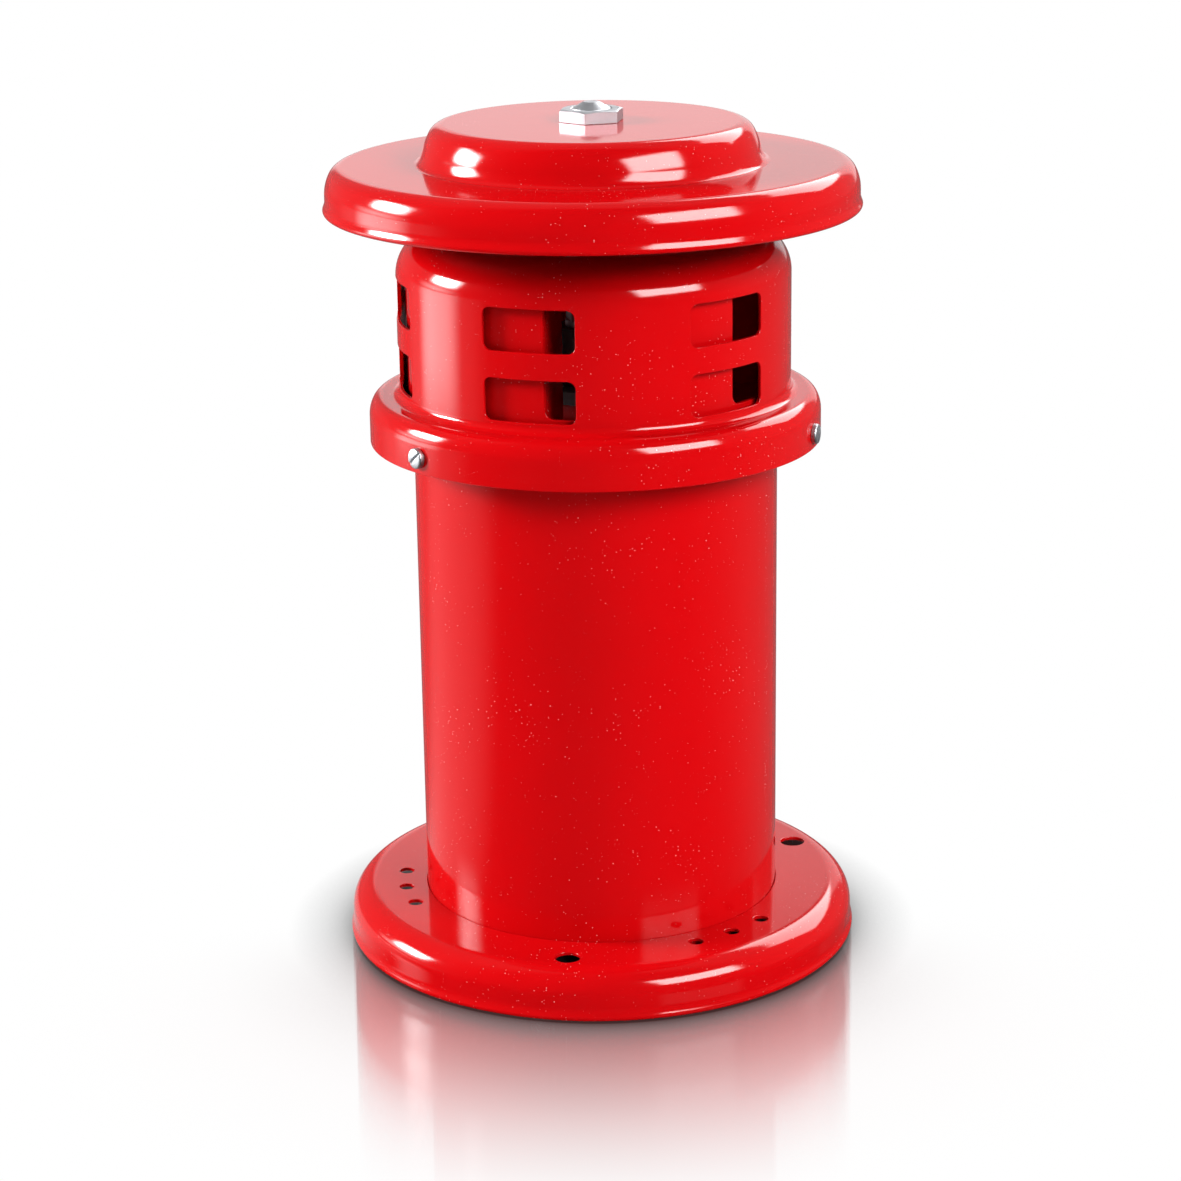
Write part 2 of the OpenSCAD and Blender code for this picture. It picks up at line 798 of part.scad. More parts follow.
module balls(bearing, z) {
    color(zinc) around(ball_count) out(pitch_r(bearing), z + bearing[2] / 2) sphere(bearing[3]);
}

module ball_cage(bearing, z) {
    cage_w = bearing[3] * cage_w_share;
    cage_h = bearing[3] * cage_h_share;
    middle_r = pitch_r(bearing);
    middle_z = z + bearing[2] / 2;
    color(brass) difference() {
        ring(middle_r + cage_w / 2, middle_r - cage_w / 2, middle_z - cage_h / 2, cage_h);
        around(ball_count) translate([0, 0, middle_z])
            push_out(middle_r - cage_w, middle_r + cage_w) circle(bearing[3] + seat);
    }
}

module upper_bearing_outer() {
    outer_ring(upper_bearing, upper_bearing_z);
}

module upper_bearing_inner() {
    inner_ring(upper_bearing, upper_bearing_z);
}

module upper_bearing_balls() {
    balls(upper_bearing, upper_bearing_z);
}

module upper_bearing_cage() {
    ball_cage(upper_bearing, upper_bearing_z);
}

module lower_bearing_outer() {
    outer_ring(lower_bearing, lower_bearing_z);
}

module lower_bearing_inner() {
    inner_ring(lower_bearing, lower_bearing_z);
}

module lower_bearing_balls() {
    balls(lower_bearing, lower_bearing_z);
}

module lower_bearing_cage() {
    ball_cage(lower_bearing, lower_bearing_z);
}

module bearing_spring() {
    spring_r_in = lower_bearing[1] - bearing_spring_w;
    color(steel) ring(lower_bearing[1] - slip, spring_r_in, bearing_spring_z, bearing_spring_h);
}

// Brush gear

module brush_yoke() {
    color(bakelite) difference() {
        ring(yoke_ring_r, yoke_ring_bore_r, yoke_ring_z, yoke_ring_t);
        around(2) out(post_ring_r, yoke_ring_z - past) cylinder(r = post_screw_r + seat, h = 2 * yoke_ring_t);
    }
}

module yoke_posts() {
    color(brass) around(2) out(post_ring_r)
        ring(post_r, post_screw_r + seat, foot_z, yoke_ring_z - foot_z);
}

module yoke_screws() {
    head_z = yoke_ring_z + yoke_ring_t;
    color(zinc) around(2) out(post_ring_r) {
        translate([0, 0, lower_plate_z]) cylinder(r = post_screw_r, h = head_z - lower_plate_z + past);
        translate([0, 0, head_z]) cylinder(r = post_screw_head_r, h = post_screw_head_h);
    }
}

module brush_holders() {
    color(brass) around(2, 90) translate([0, 0, brush_z]) {
        push_out(holder_inner_r, holder_outer_r) difference() {
            square([holder_w, holder_h], center = true);
            square([brush_w + 2 * slip, brush_h + 2 * slip], center = true);
        }
    }
}

module brush_caps() {
    color(bakelite) around(2, 90) translate([0, 0, brush_z]) {
        push_out(holder_outer_r, holder_outer_r + brush_cap_t) square([holder_w, holder_h], center = true);
    }
}

module brush(side) {
    color(carbon) rotate(side * 90) difference() {
        translate([0, 0, brush_z]) push_out(commutator_r - past, brush_back_r)
            square([brush_w, brush_h], center = true);
        translate([0, 0, brush_z - brush_h])
            cylinder(r = commutator_r + brush_face_gap, h = 2 * brush_h);
    }
}

module brush_left() {
    brush(-1);
}

module brush_right() {
    brush(1);
}

module brush_spring(side) {
    length = holder_outer_r - brush_back_r - 2 * (spring_wire_r + seat);
    start = brush_back_r + spring_wire_r + seat;
    steps = spring_turns * spring_rings;
    points = [
        for (i = [0 : steps])
            [
                spring_r * cos(360 * i / spring_rings),
                -start - length * i / steps,
                brush_z + spring_r * sin(360 * i / spring_rings)
            ]
    ];
    color(steel) rotate(side * 90) swept_tube(points, spring_wire_r, spring_sides);
}

module brush_spring_left() {
    brush_spring(-1);
}

module brush_spring_right() {
    brush_spring(1);
}

// Wiring

module terminal_block() {
    color(bakelite) difference() {
        translate([-terminal_w / 2, lead_y - terminal_l / 2, terminal_z])
            cube([terminal_w, terminal_l, terminal_h]);
        for (x = [-1, 1]) {
            translate([x * lead_x, lead_y, lower_plate_z - terminal_pocket])
                cylinder(r = lead_r + slip, h = terminal_pocket + past);
            translate([x * lead_x, terminal_screw_y, terminal_z - past])
                cylinder(r = terminal_screw_r + seat, h = terminal_screw_l + past);
        }
        translate([0, lead_y, terminal_z - past])
            cylinder(r = terminal_screw_r + seat, h = terminal_h + 2 * past);
    }
}

module terminal_screw(l) {
    translate([0, 0, terminal_z]) cylinder(r = terminal_screw_r, h = l);
    difference() {
        translate([0, 0, terminal_z - terminal_head_h]) cylinder(r = terminal_head_r, h = terminal_head_h);
        mirror([0, 0, 1]) screw_slot(terminal_head_r, terminal_head_h - terminal_z);
    }
}

module terminal_screws() {
    color(brass) {
        for (x = [-1, 1]) {
            translate([x * lead_x, terminal_screw_y, 0]) terminal_screw(terminal_screw_l - seat);
        }
        translate([0, lead_y, 0]) terminal_screw(terminal_h + lower_plate_t - 2 * past);
    }
}

module lead_grommets() {
    color(rubber) for (x = [-1, 1]) {
        translate([x * lead_x, lead_y, 0]) difference() {
            union() {
                translate([0, 0, lower_plate_z]) cylinder(r = grommet_r, h = lower_plate_t);
                translate([0, 0, foot_z]) cylinder(r = grommet_flange_r, h = grommet_flange_h);
            }
            translate([0, 0, lower_plate_z - past])
                cylinder(r = lead_r + seat, h = lower_plate_t + grommet_flange_h + 2 * past);
        }
    }
}

module lead_wires() {
    color(lead_colour) for (side = [0, 1]) {
        mirror([side, 0, 0]) {
            translate([lead_x, lead_y, lower_plate_z - terminal_pocket])
                cylinder(r = lead_r, h = coil_foot_z - lower_plate_z + terminal_pocket);
            swept_tube([link_start, link_turn_a, link_turn_b, link_turn_c, link_end], lead_r, lead_sides);
        }
    }
}

// Chopper housing and its screws

module housing_outline() {
    drum_outline(drum_r, collar_z, drum_top, drum_edge_r);
    drum_outline(collar_r, collar_z, collar_top, collar_edge_r);
    corner_hollow(drum_r, collar_top, collar_hollow_r);
}

module housing_inside() {
    drum_outline(drum_r - sheet_t, collar_z - past, drum_top - sheet_t, drum_edge_r - sheet_t);
    drum_outline(collar_r - sheet_t, collar_z - past, collar_top - sheet_t, collar_edge_r - sheet_t);
    corner_hollow(drum_r - sheet_t, collar_top - sheet_t, collar_hollow_r + sheet_t);
    translate([0, collar_z]) square([inlet_r, drum_top]);
}

module chopper_housing() {
    color(enamel) difference() {
        rotate_extrude() difference() {
            housing_outline();
            housing_inside();
        }
        around(window_columns) {
            for (row = [0, 1]) {
                translate([0, 0, collar_top + window_row_z + row * window_row_step])
                    push_out(inlet_r, drum_r + past) rounded_rect(window_w, window_h, window_corner_r);
            }
        }
        around(collar_screw_count, screw_first) {
            out(0, collar_z + collar_screw_z) rotate([90, 0, 0]) translate([0, 0, rim_r - past])
                cylinder(d = collar_screw_d + 2 * slip, h = collar_r);
        }
        around(spider_arm_count) out(spider_rivet_ring_r, collar_top)
            cylinder(r = spider_rivet_r + seat, h = drum_h + past);
    }
}

// Slotted pan-head screw along +Z, its head standing on z = 0
module pan_screw(slot_turn) {
    difference() {
        rotate_extrude() drum_outline(screw_head_r, 0, screw_head_h, screw_head_edge_r);
        rotate(slot_turn) screw_slot(screw_head_r, screw_head_h);
    }
    translate([0, 0, -screw_l]) cylinder(d = collar_screw_d, h = screw_l + past);
}

module collar_screws() {
    color(zinc) for (i = [0 : collar_screw_count - 1]) {
        rotate(screw_first + i * 360 / collar_screw_count) out(collar_r + seat, collar_z + collar_screw_z)
            rotate([90, 0, 0]) pan_screw(screw_slot_turns[i]);
    }
}

// Cap and its carrier

module inlet_spider() {
    color(enamel) difference() {
        union() {
            translate([0, 0, drum_top]) cylinder(r = spider_hub_r, h = spider_t);
            around(spider_arm_count) {
                translate([-spider_arm_w / 2, -spider_reach_r, drum_top])
                    cube([spider_arm_w, spider_reach_r, spider_t]);
            }
        }
        translate([0, 0, drum_top - past]) cylinder(r = stud_hole_r, h = spider_t + 2 * past);
        around(spider_arm_count) out(spider_rivet_ring_r, drum_top - past)
            cylinder(r = spider_rivet_r + seat, h = spider_t + 2 * past);
    }
}

module spider_rivets() {
    color(zinc) around(spider_arm_count) out(spider_rivet_ring_r)
        rivet(spider_rivet_r, spider_rivet_head_r, drum_top - sheet_t, spider_top);
}

module stud_nut() {
    color(zinc) hex_nut(cap_nut_w, stud_nut_h, stud_r + seat, stud_nut_z);
}

module cap_stud() {
    color(zinc) {
        translate([0, 0, stud_nut_z]) cylinder(r = stud_r, h = cap_nut_top - stud_nut_z);
        translate([0, 0, cap_nut_top]) cylinder(r1 = stud_r, r2 = stud_r * stud_tip_share, h = stud_end_h);
    }
}

module cap_spacer() {
    color(zinc) ring(spacer_r, stud_hole_r, spider_top, crown_top - sheet_t - spider_top);
}

// Points along a round stretch of an outline, from one angle to another
function arc(centre, r, from, to) = [
    for (i = [0 : arc_steps])
        let (a = from + (to - from) * i / arc_steps)
        centre + r * [cos(a), sin(a)]
];

// Half outline of the crown, set in by a wall: hollow foot, leaning wall and rounded top edge
module crown_outline(inset) {
    edge_r = crown_edge_r - inset;
    edge_z = crown_top - crown_edge_r;
    rise = edge_z - brim_top;
    edge_x = crown_r - (crown_edge_r + rise * sin(crown_lean)) / cos(crown_lean);
    foot_x = crown_r + crown_hollow_r * (1 - sin(crown_lean)) / cos(crown_lean);
    start_z = brim_top - inset - sheet_t / 2;
    polygon(concat(
        [[0, start_z], [foot_x, start_z]],
        arc([foot_x, brim_top + crown_hollow_r], crown_hollow_r + inset, 270, 180 + crown_lean),
        arc([edge_x, edge_z], edge_r, crown_lean, 90),
        [[0, crown_top - inset]]
    ));
}

module rain_cap() {
    color(enamel) rotate_extrude() {
        difference() {
            union() {
                drum_outline(brim_r, brim_z, brim_top, brim_edge_r);
                crown_outline(0);
            }
            drum_outline(brim_r - sheet_t, brim_z - past, brim_top - sheet_t, brim_edge_r - sheet_t);
            crown_outline(sheet_t);
            square([stud_hole_r, crown_top + past]);
            translate([0, brim_z - past]) square([brim_r + past, bead_r + past]);
        }
        rolled_edge(brim_r, brim_z);
    }
}

module cap_nut() {
    color(zinc) rotate(cap_nut_turn - 90) hex_nut(cap_nut_w, cap_nut_h, stud_r + seat, crown_top);
}

// Rotor

module rotor_outline(inset) {
    floor_edge_r = rotor_floor_edge_r - inset;
    drum_outline(rotor_r - inset, rotor_z + inset, rotor_top - inset, rotor_edge_r - inset, floor_edge_r);
}

module rotor_drum() {
    color(enamel) rotate(rotor_turn) difference() {
        rotate_extrude() difference() {
            rotor_outline(0);
            rotor_outline(rotor_t);
            translate([0, rotor_floor_top]) square([eye_r, rotor_top]);
            square([hub_r + seat, rotor_top]);
        }
        around(window_columns) translate([0, 0, collar_top + port_z + port_h / 2])
            push_out(eye_r, rotor_r + past) rounded_rect(port_w, port_h, port_corner_r);
        around(hub_rivet_count) out(hub_rivet_ring_r, rotor_z - past)
            cylinder(r = hub_rivet_r + seat, h = rotor_t + 2 * past);
    }
}

module rotor_vanes() {
    color(enamel) rotate(rotor_turn) around(window_columns, -port_half_angle) intersection() {
        translate([-rotor_t, -rotor_r, rotor_z]) cube([rotor_t, rotor_r - eye_r, rotor_top - rotor_z]);
        rotate_extrude() rotor_outline(rotor_t + seat);
    }
}

module rotor_hub() {
    color(cast) rotate(rotor_turn) difference() {
        union() {
            translate([0, 0, hub_z]) cylinder(r = hub_r, h = hub_top - hub_z);
            translate([0, 0, rotor_floor_top]) cylinder(r = hub_flange_r, h = hub_flange_h);
        }
        translate([0, 0, hub_z - past]) cylinder(r = hub_bore_r, h = hub_top - hub_z + 2 * past);
        translate([-key_w / 2 - seat, -hub_bore_r - key_w / 2 - seat, key_z])
            cube([key_w + 2 * seat, hub_bore_r, hub_top]);
        around(hub_rivet_count) out(hub_rivet_ring_r, rotor_z - past)
            cylinder(r = hub_rivet_r + seat, h = hub_flange_h + 2 * past + rotor_t);
    }
}

module rotor_rivets() {
    color(zinc) rotate(rotor_turn) around(hub_rivet_count) out(hub_rivet_ring_r)
        rivet(hub_rivet_r, 2 * hub_rivet_r, rotor_z, hub_flange_top);
}

module rotor_key() {
    color(steel) rotate(rotor_turn) translate([-key_w / 2 + seat, -hub_bore_r - key_w / 2, key_z + seat])
        cube([key_w - 2 * seat, key_w - seat, key_l - 2 * seat]);
}

module rotor_washer() {
    color(zinc) ring(washer_r, hub_bore_r, hub_top, washer_h);
}

module rotor_nut() {
    color(zinc) hex_nut(rotor_nut_w, rotor_nut_h, hub_bore_r, rotor_nut_z);
}

base_flange();
motor_tube();
lower_bracket();
upper_bracket();
through_bolts();
through_bolt_nuts();
core_sleeves();
field_core();
field_coils();
motor_shaft();
armature_core();
armature_winding();
commutator_hub();
commutator_bars();
upper_bearing_outer();
upper_bearing_inner();
upper_bearing_balls();
upper_bearing_cage();
lower_bearing_outer();
lower_bearing_inner();
lower_bearing_balls();
lower_bearing_cage();
bearing_spring();
brush_yoke();
yoke_posts();
yoke_screws();
brush_holders();
brush_left();
brush_right();
brush_spring_left();
brush_spring_right();
brush_caps();
terminal_block();
terminal_screws();
lead_grommets();
lead_wires();
chopper_housing();
collar_screws();
inlet_spider();
spider_rivets();
stud_nut();
cap_stud();
cap_spacer();
rain_cap();
cap_nut();
rotor_drum();
rotor_vanes();
rotor_hub();
rotor_rivets();
rotor_key();
rotor_washer();
rotor_nut();
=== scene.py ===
"""Looks of a motor-driven rotary siren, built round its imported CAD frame.

Outlines are in millimetres, as on a workshop drawing, and become metres when a mesh is made.
A bearing of 0 degrees faces -Y, and bearings grow towards +X.
"""

import json
import logging
import math
from dataclasses import dataclass
from enum import Enum
from typing import Sequence

import bmesh
import bpy
import numpy as np
from mathutils import Matrix, Vector


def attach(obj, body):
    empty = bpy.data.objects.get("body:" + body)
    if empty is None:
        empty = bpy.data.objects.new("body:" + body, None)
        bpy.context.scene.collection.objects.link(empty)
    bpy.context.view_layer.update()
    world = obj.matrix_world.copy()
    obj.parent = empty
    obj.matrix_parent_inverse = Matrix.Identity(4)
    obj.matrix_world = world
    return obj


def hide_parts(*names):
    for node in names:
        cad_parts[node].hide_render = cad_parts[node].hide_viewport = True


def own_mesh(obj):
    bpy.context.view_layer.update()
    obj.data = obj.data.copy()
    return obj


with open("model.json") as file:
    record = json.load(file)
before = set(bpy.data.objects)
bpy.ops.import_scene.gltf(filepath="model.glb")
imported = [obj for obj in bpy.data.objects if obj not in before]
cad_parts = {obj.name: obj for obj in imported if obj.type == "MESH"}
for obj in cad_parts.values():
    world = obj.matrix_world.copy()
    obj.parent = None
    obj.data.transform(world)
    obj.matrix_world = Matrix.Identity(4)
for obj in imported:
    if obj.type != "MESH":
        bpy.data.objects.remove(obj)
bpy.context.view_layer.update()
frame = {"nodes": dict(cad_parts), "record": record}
log = logging.getLogger("siren")

Thing = bpy.types.Object
Node = bpy.types.Node
Socket = bpy.types.NodeSocket
Tree = bpy.types.NodeTree
Pair = tuple[float, float]
Colour = tuple[float, float, float, float]

MM = 0.001
TINY = 1e-6
WHITE: Colour = (1.0, 1.0, 1.0, 1.0)


class Body(Enum):
    """CAD bodies that the pieces ride on."""

    SIREN = "siren_body"
    ROTOR = "rotor"


class Slot(Enum):
    """Material slots of the record."""

    ENAMEL = "red_enamel"
    CAST_SHADE_DARKENED = "cast_aluminium"
    ZINC = "zinc_steel"
    STEEL = "bare_steel"
    BEARING = "bearing_steel"
    LAMINATION = "lamination"
    VARNISH = "coil_varnish"
    COPPER = "commutator_copper"
    BRASS = "brass"
    BAKELITE = "bakelite"
    CARBON = "carbon"
    RUBBER = "black_rubber"
    LEAD = "lead_insulation"


# Meshes


@dataclass(frozen=True)
class Corner:
    """One corner of a turned outline.

    Args:
        r: Distance from the axis.
        z: Height.
        fillet: Radius that rounds the corner.
    """

    r: float
    z: float
    fillet: float


class Outline:
    """Closed outline of a turned piece, its corners rounded, as points with outward normals."""

    def __init__(self, corners: Sequence[Corner], step: float = 6.0) -> None:
        """Rounds the corners.

        Args:
            corners: Corners in counter-clockwise order, radius to the right and height up.
            step: Degrees of arc from one point to the next.
        """
        points, normals = [], []
        self.starts: list[int] = []
        self.ends: list[int] = []
        spots = [np.array([c.r, c.z]) for c in corners]
        for i, corner in enumerate(corners):
            here, after = spots[i], spots[(i + 1) % len(spots)]
            come = (here - spots[i - 1]) / np.linalg.norm(here - spots[i - 1])
            go = (after - here) / np.linalg.norm(after - here)
            first = math.atan2(come[1], come[0])
            veer = math.atan2(come[0] * go[1] - come[1] * go[0], float(come @ go))
            bend = math.copysign(corner.fillet, veer)
            begin = here - come * corner.fillet * math.tan(abs(veer) / 2)
            centre = begin + bend * np.array([-come[1], come[0]])
            steps = max(1, math.ceil(math.degrees(abs(veer)) / step - TINY))
            self.starts.append(len(points))
            for k in range(steps + 1):
                way = first + veer * k / steps
                right = np.array([math.sin(way), -math.cos(way)])
                points.append(centre + bend * right)
                normals.append(right)
            self.ends.append(len(points) - 1)
        self.points = np.array(points)
        self.normals = np.array(normals)

    def path(self, first: int, last: int) -> np.ndarray:
        """Rows of radius, height and normal from one point to another, both included."""
        return np.hstack([self.points[first : last + 1], self.normals[first : last + 1]])


def shoulder(r: float, top: float, small: float, large: float, share: float = 28.0) -> list[Corner]:
    """Corners of a pressed shoulder, which bends gently out of the wall and then tightly into the top.

    Args:
        r: Radius of the wall.
        top: Height of the top.
        small: Bend radius next to the top.
        large: Bend radius next to the wall.
        share: Degrees of the bend that are gentle.

    Returns:
        Both corners, from the wall to the top.
    """
    bend = math.radians(share)
    start = top - small * (1 - math.sin(bend)) - large * math.sin(bend)
    reach = small * math.tan((math.pi / 2 - bend) / 2)
    return [
        Corner(r, start + large * math.tan(bend / 2), large),
        Corner(r - large * (1 - math.cos(bend)) - reach * math.sin(bend), top, small),
    ]


def lining(outer: Sequence[Corner], sheet: float) -> list[Corner]:
    """Corners of a sheet's inner face, from those of its outer face, back from the last to the first.

    Args:
        outer: Corners of the outer face, inward to the left of the way along them.
        sheet: Thickness of the sheet.

    Returns:
        The inner corners, bent round the same centres.
    """
    spots = np.array([[c.r, c.z] for c in outer])
    ways = np.diff(spots, axis=0) / np.linalg.norm(np.diff(spots, axis=0), axis=1)[:, None]
    sides = np.stack([-ways[:, 1], ways[:, 0]], axis=-1)
    inner = []
    for i, corner in enumerate(outer):
        before, after = sides[max(i - 1, 0)], sides[min(i, len(sides) - 1)]
        bend = np.sign(round(before[0] * after[1] - before[1] * after[0], 6))
        spot = spots[i] + sheet * (before + after) / (1 + before @ after)
        inner.append(Corner(*spot, corner.fillet - bend * sheet))
    return inner[::-1]


def link(name: str, data: bpy.types.ID) -> Thing:
    """Puts a mesh, a lamp or a camera into the scene as an object."""
    item = bpy.data.objects.new(name, data)
    bpy.context.scene.collection.objects.link(item)
    return item


class Skin:
    """Mesh in the making: welded points with their own normals, and the faces between them."""

    WELD = 1e4

    def __init__(self) -> None:
        """Starts empty."""
        self.known: dict[tuple[int, ...], int] = {}
        self.points: list[np.ndarray] = []
        self.normals: list[np.ndarray] = []
        self.faces: list[tuple[int, ...]] = []

    def add(self, points: np.ndarray, normals: np.ndarray) -> list[int]:
        """Adds points, each welded to one that is already in its place.

        Args:
            points: Places in millimetres, one row each.
            normals: Their outward normals.

        Returns:
            The number of each point.
        """
        numbers = []
        for key, point, normal in zip(np.rint(points * self.WELD).astype(int), points, normals):
            number = self.known.setdefault(tuple(key), len(self.points))
            if number == len(self.points):
                self.points.append(point)
                self.normals.append(normal)
            numbers.append(number)
        return numbers

    def bridge(self, loops: Sequence[list[int]], closed: bool = True) -> None:
        """Joins each loop of points to the next one by faces.

        Args:
            loops: Loops with as many points each.
            closed: Whether the last point of a loop joins the first.
        """
        for a, b in zip(loops, loops[1:]):
            for i in range(len(a) if closed else len(a) - 1):
                j = (i + 1) % len(a)
                face = tuple(dict.fromkeys((a[i], a[j], b[j], b[i])))
                if len(face) > 2:
                    self.faces.append(face)

    def to_object(self, name: str, exact: bool = True) -> Thing:
        """Makes the mesh and links it as an object.

        Args:
            name: Name of the mesh and of the object.
            exact: Whether the mesh keeps the normals that came with its points.

        Returns:
            The object.
        """
        mesh = bpy.data.meshes.new(name)
        mesh.from_pydata((np.array(self.points) * MM).tolist(), [], self.faces)
        mesh.shade_smooth()
        if exact:
            mesh.normals_split_custom_set_from_vertices(np.array(self.normals).tolist())
        return link(name, mesh)


def swing(bearings: np.ndarray, r: np.ndarray, z: np.ndarray) -> np.ndarray:
    """Points at these bearings in degrees, distances from the axis and heights."""
    angle = np.radians(bearings)
    return np.stack([r * np.sin(angle), -r * np.cos(angle), z + 0 * angle], axis=-1)


def turn(skin: Skin, outline: Outline, bearings: np.ndarray, gaps: Sequence[int] = ()) -> None:
    """Turns an outline round the axis.

    Args:
        skin: Mesh to add to.
        outline: Outline to turn.
        bearings: Bearings of the points of each ring, in degrees.
        gaps: Outline points after which no faces are made.
    """
    rings = []
    for (r, z), (nr, nz) in zip(outline.points, outline.normals):
        rings.append(skin.add(swing(bearings, r, z), swing(bearings, nr, nz)))
    rings.append(rings[0])
    for k, pair in enumerate(zip(rings, rings[1:])):
        if k not in gaps:
            skin.bridge(pair)


def even_bearings(count: int, first: float = 0.0) -> np.ndarray:
    """Evenly spaced bearings round the axis."""
    return first + np.arange(count) * 360.0 / count


@dataclass(frozen=True)
class Hole:
    """Hole with rounded corners in a turned sheet.

    Args:
        bearing: Bearing of its middle, in degrees.
        place: Distance of its middle along the band.
        width: Size round the axis.
        height: Size along the band.
        corner: Radius of its corners.
    """

    bearing: float
    place: float
    width: float
    height: float
    corner: float
    CORNER_STEPS = 4

    def rim(self, across: int, along: int) -> tuple[np.ndarray, np.ndarray]:
        """Points of the rim, counter-clockwise from the middle of the lower left corner.

        Args:
            across: Steps on the lower and upper side.
            along: Steps on the left and right side.

        Returns:
            The points, and the directions away from the hole.
        """
        x, y = self.width / 2 - self.corner, self.height / 2 - self.corner
        ends = np.array([[-x, -y], [x, -y], [x, y], [-x, y], [-x, -y]])
        spots, away = [], []
        for side, count in enumerate((across, along, across, along)):
            straight = np.linalg.norm(ends[side + 1] - ends[side])
            bend = min(self.CORNER_STEPS, (count - 1) // 2) if straight > 0 else count / 2
            for k in range(count):
                before = min(k / bend, 1.0)
                after = max((k - count + bend) / bend, 0.0)
                slide = min(max((k - bend) / max(count - 2 * bend, 1), 0.0), 1.0)
                angle = math.radians(225 + 90 * side + 45 * (before + after))
                unit = np.array([math.cos(angle), math.sin(angle)])
                spots.append(ends[side] + slide * (ends[side + 1] - ends[side]) + self.corner * unit)
                away.append(unit)
        return np.array(spots), np.array(away)


class Band:
    """Stretch of a turned sheet that is pierced by holes, either upright or flat."""

    LIP = 0.25
    LIP_STEPS = (0.0, 30.0, 60.0, 90.0)
    EASE = (0.4, 0.75)

    def __init__(self, path: np.ndarray, thickness: float, flat: bool = False) -> None:
        """Keeps the path.

        Args:
            path: Rows of radius, height and normal along the outer face.
            thickness: Thickness of the sheet.
            flat: Whether the band is a flat ring, whose path runs inwards.
        """
        self.line = path
        self.thickness = thickness
        self.flat = flat
        steps = np.linalg.norm(np.diff(path[:, :2], axis=0), axis=1)
        self.run = np.concatenate([[0.0], np.cumsum(steps)])

    @property
    def length(self) -> float:
        """Length of the path."""
        return float(self.run[-1])

    def place_of_height(self, z: float) -> float:
        """Distance along an upright path at which it reaches a height."""
        return float(np.interp(z, self.line[:, 1], self.run))

    def along(self, place: np.ndarray) -> np.ndarray:
        """Radius, height and normal at distances along the path, one row each."""
        return np.stack([np.interp(place, self.run, self.line[:, i]) for i in range(4)], axis=-1)

    def surface(self, bearings: np.ndarray, place: np.ndarray, depth: float) -> tuple[np.ndarray, np.ndarray]:
        """Points under the outer face, and the outer face's normals there."""
        r, z, nr, nz = np.broadcast_to(self.along(place), (len(bearings), 4)).T
        return swing(bearings, r - depth * nr, z - depth * nz), swing(bearings, nr, nz)

    def locate(self, hole: Hole, spots: np.ndarray, depth: float) -> tuple[np.ndarray, np.ndarray]:
        """Bearings and distances along the path of points given from a hole's middle."""
        x, y = spots.T
        if self.flat:
            reach = self.line[0, 0] - hole.place - y
            return hole.bearing + np.degrees(np.arctan2(x, reach)), self.line[0, 0] - np.hypot(x, reach)
        place = hole.place + y
        r, _, nr, _ = self.along(place).T
        return hole.bearing + np.degrees(np.arcsin(x / (r - depth * nr))), place

    def fill(self, skin: Skin, bearings: np.ndarray, places: np.ndarray) -> None:
        """Closes a stretch that has no hole, on both faces."""
        for depth, side in ((0.0, 1), (self.thickness, -1)):
            rows = []
            for place in places:
                points, normals = self.surface(bearings, np.array([place]), depth)
                rows.append(skin.add(points, side * normals))
            skin.bridge(rows[::side], closed=False)

    def pierce(self, skin: Skin, hole: Hole, bearings: np.ndarray, places: np.ndarray) -> None:
        """Makes one cell of the sheet with a hole in it, whose edges are rounded.

        Args:
            skin: Mesh to add to.
            hole: The hole.
            bearings: Bearings along the cell's lower and upper side.
            places: Distances along the path on its left and right side.
        """
        across, up = len(bearings) - 1, len(places) - 1
        edge_b = np.concatenate([
            bearings[:-1], np.full(up, bearings[-1]), bearings[:0:-1], np.full(up, bearings[0])
        ])
        edge_p = np.concatenate([
            np.full(across, places[0]), places[:-1], np.full(across, places[-1]), places[:0:-1]
        ])
        rim, away = hole.rim(across, up)
        chord = swing(np.array([hole.bearing + 90]), 1.0, 0.0)[0]
        out = swing(np.array([hole.bearing]), 1.0, 0.0)[0]
        loops = []
        for back in (False, True):
            side = -1.0 if back else 1.0
            face = self.thickness if back else 0.0
            rows = []
            wide_b, wide_p = self.locate(hole, rim + self.LIP * away, face)
            for ease in (0.0, *self.EASE):
                points, normals = self.surface(
                    edge_b + ease * (wide_b - edge_b), edge_p + ease * (wide_p - edge_p), face
                )
                rows.append((points, side * normals))
            for angle in np.radians(self.LIP_STEPS):
                depth = abs(face - self.LIP * (1 - math.cos(angle)))
                spots = rim + self.LIP * (1 - math.sin(angle)) * away
                lip_b, lip_p = self.locate(hole, spots, depth)
                points, normals = self.surface(lip_b, lip_p, depth)
                _, _, nr, nz = self.along(lip_p).T
                rise = np.outer(-nz, out) + np.outer(nr, np.array([0.0, 0.0, 1.0]))
                inward = -(away[:, :1] * chord + away[:, 1:] * rise)
                rows.append((points, side * math.cos(angle) * normals + math.sin(angle) * inward))
            numbers = [skin.add(points, normals) for points, normals in rows]
            loops += numbers[::-1] if back else numbers
        skin.bridge(loops)


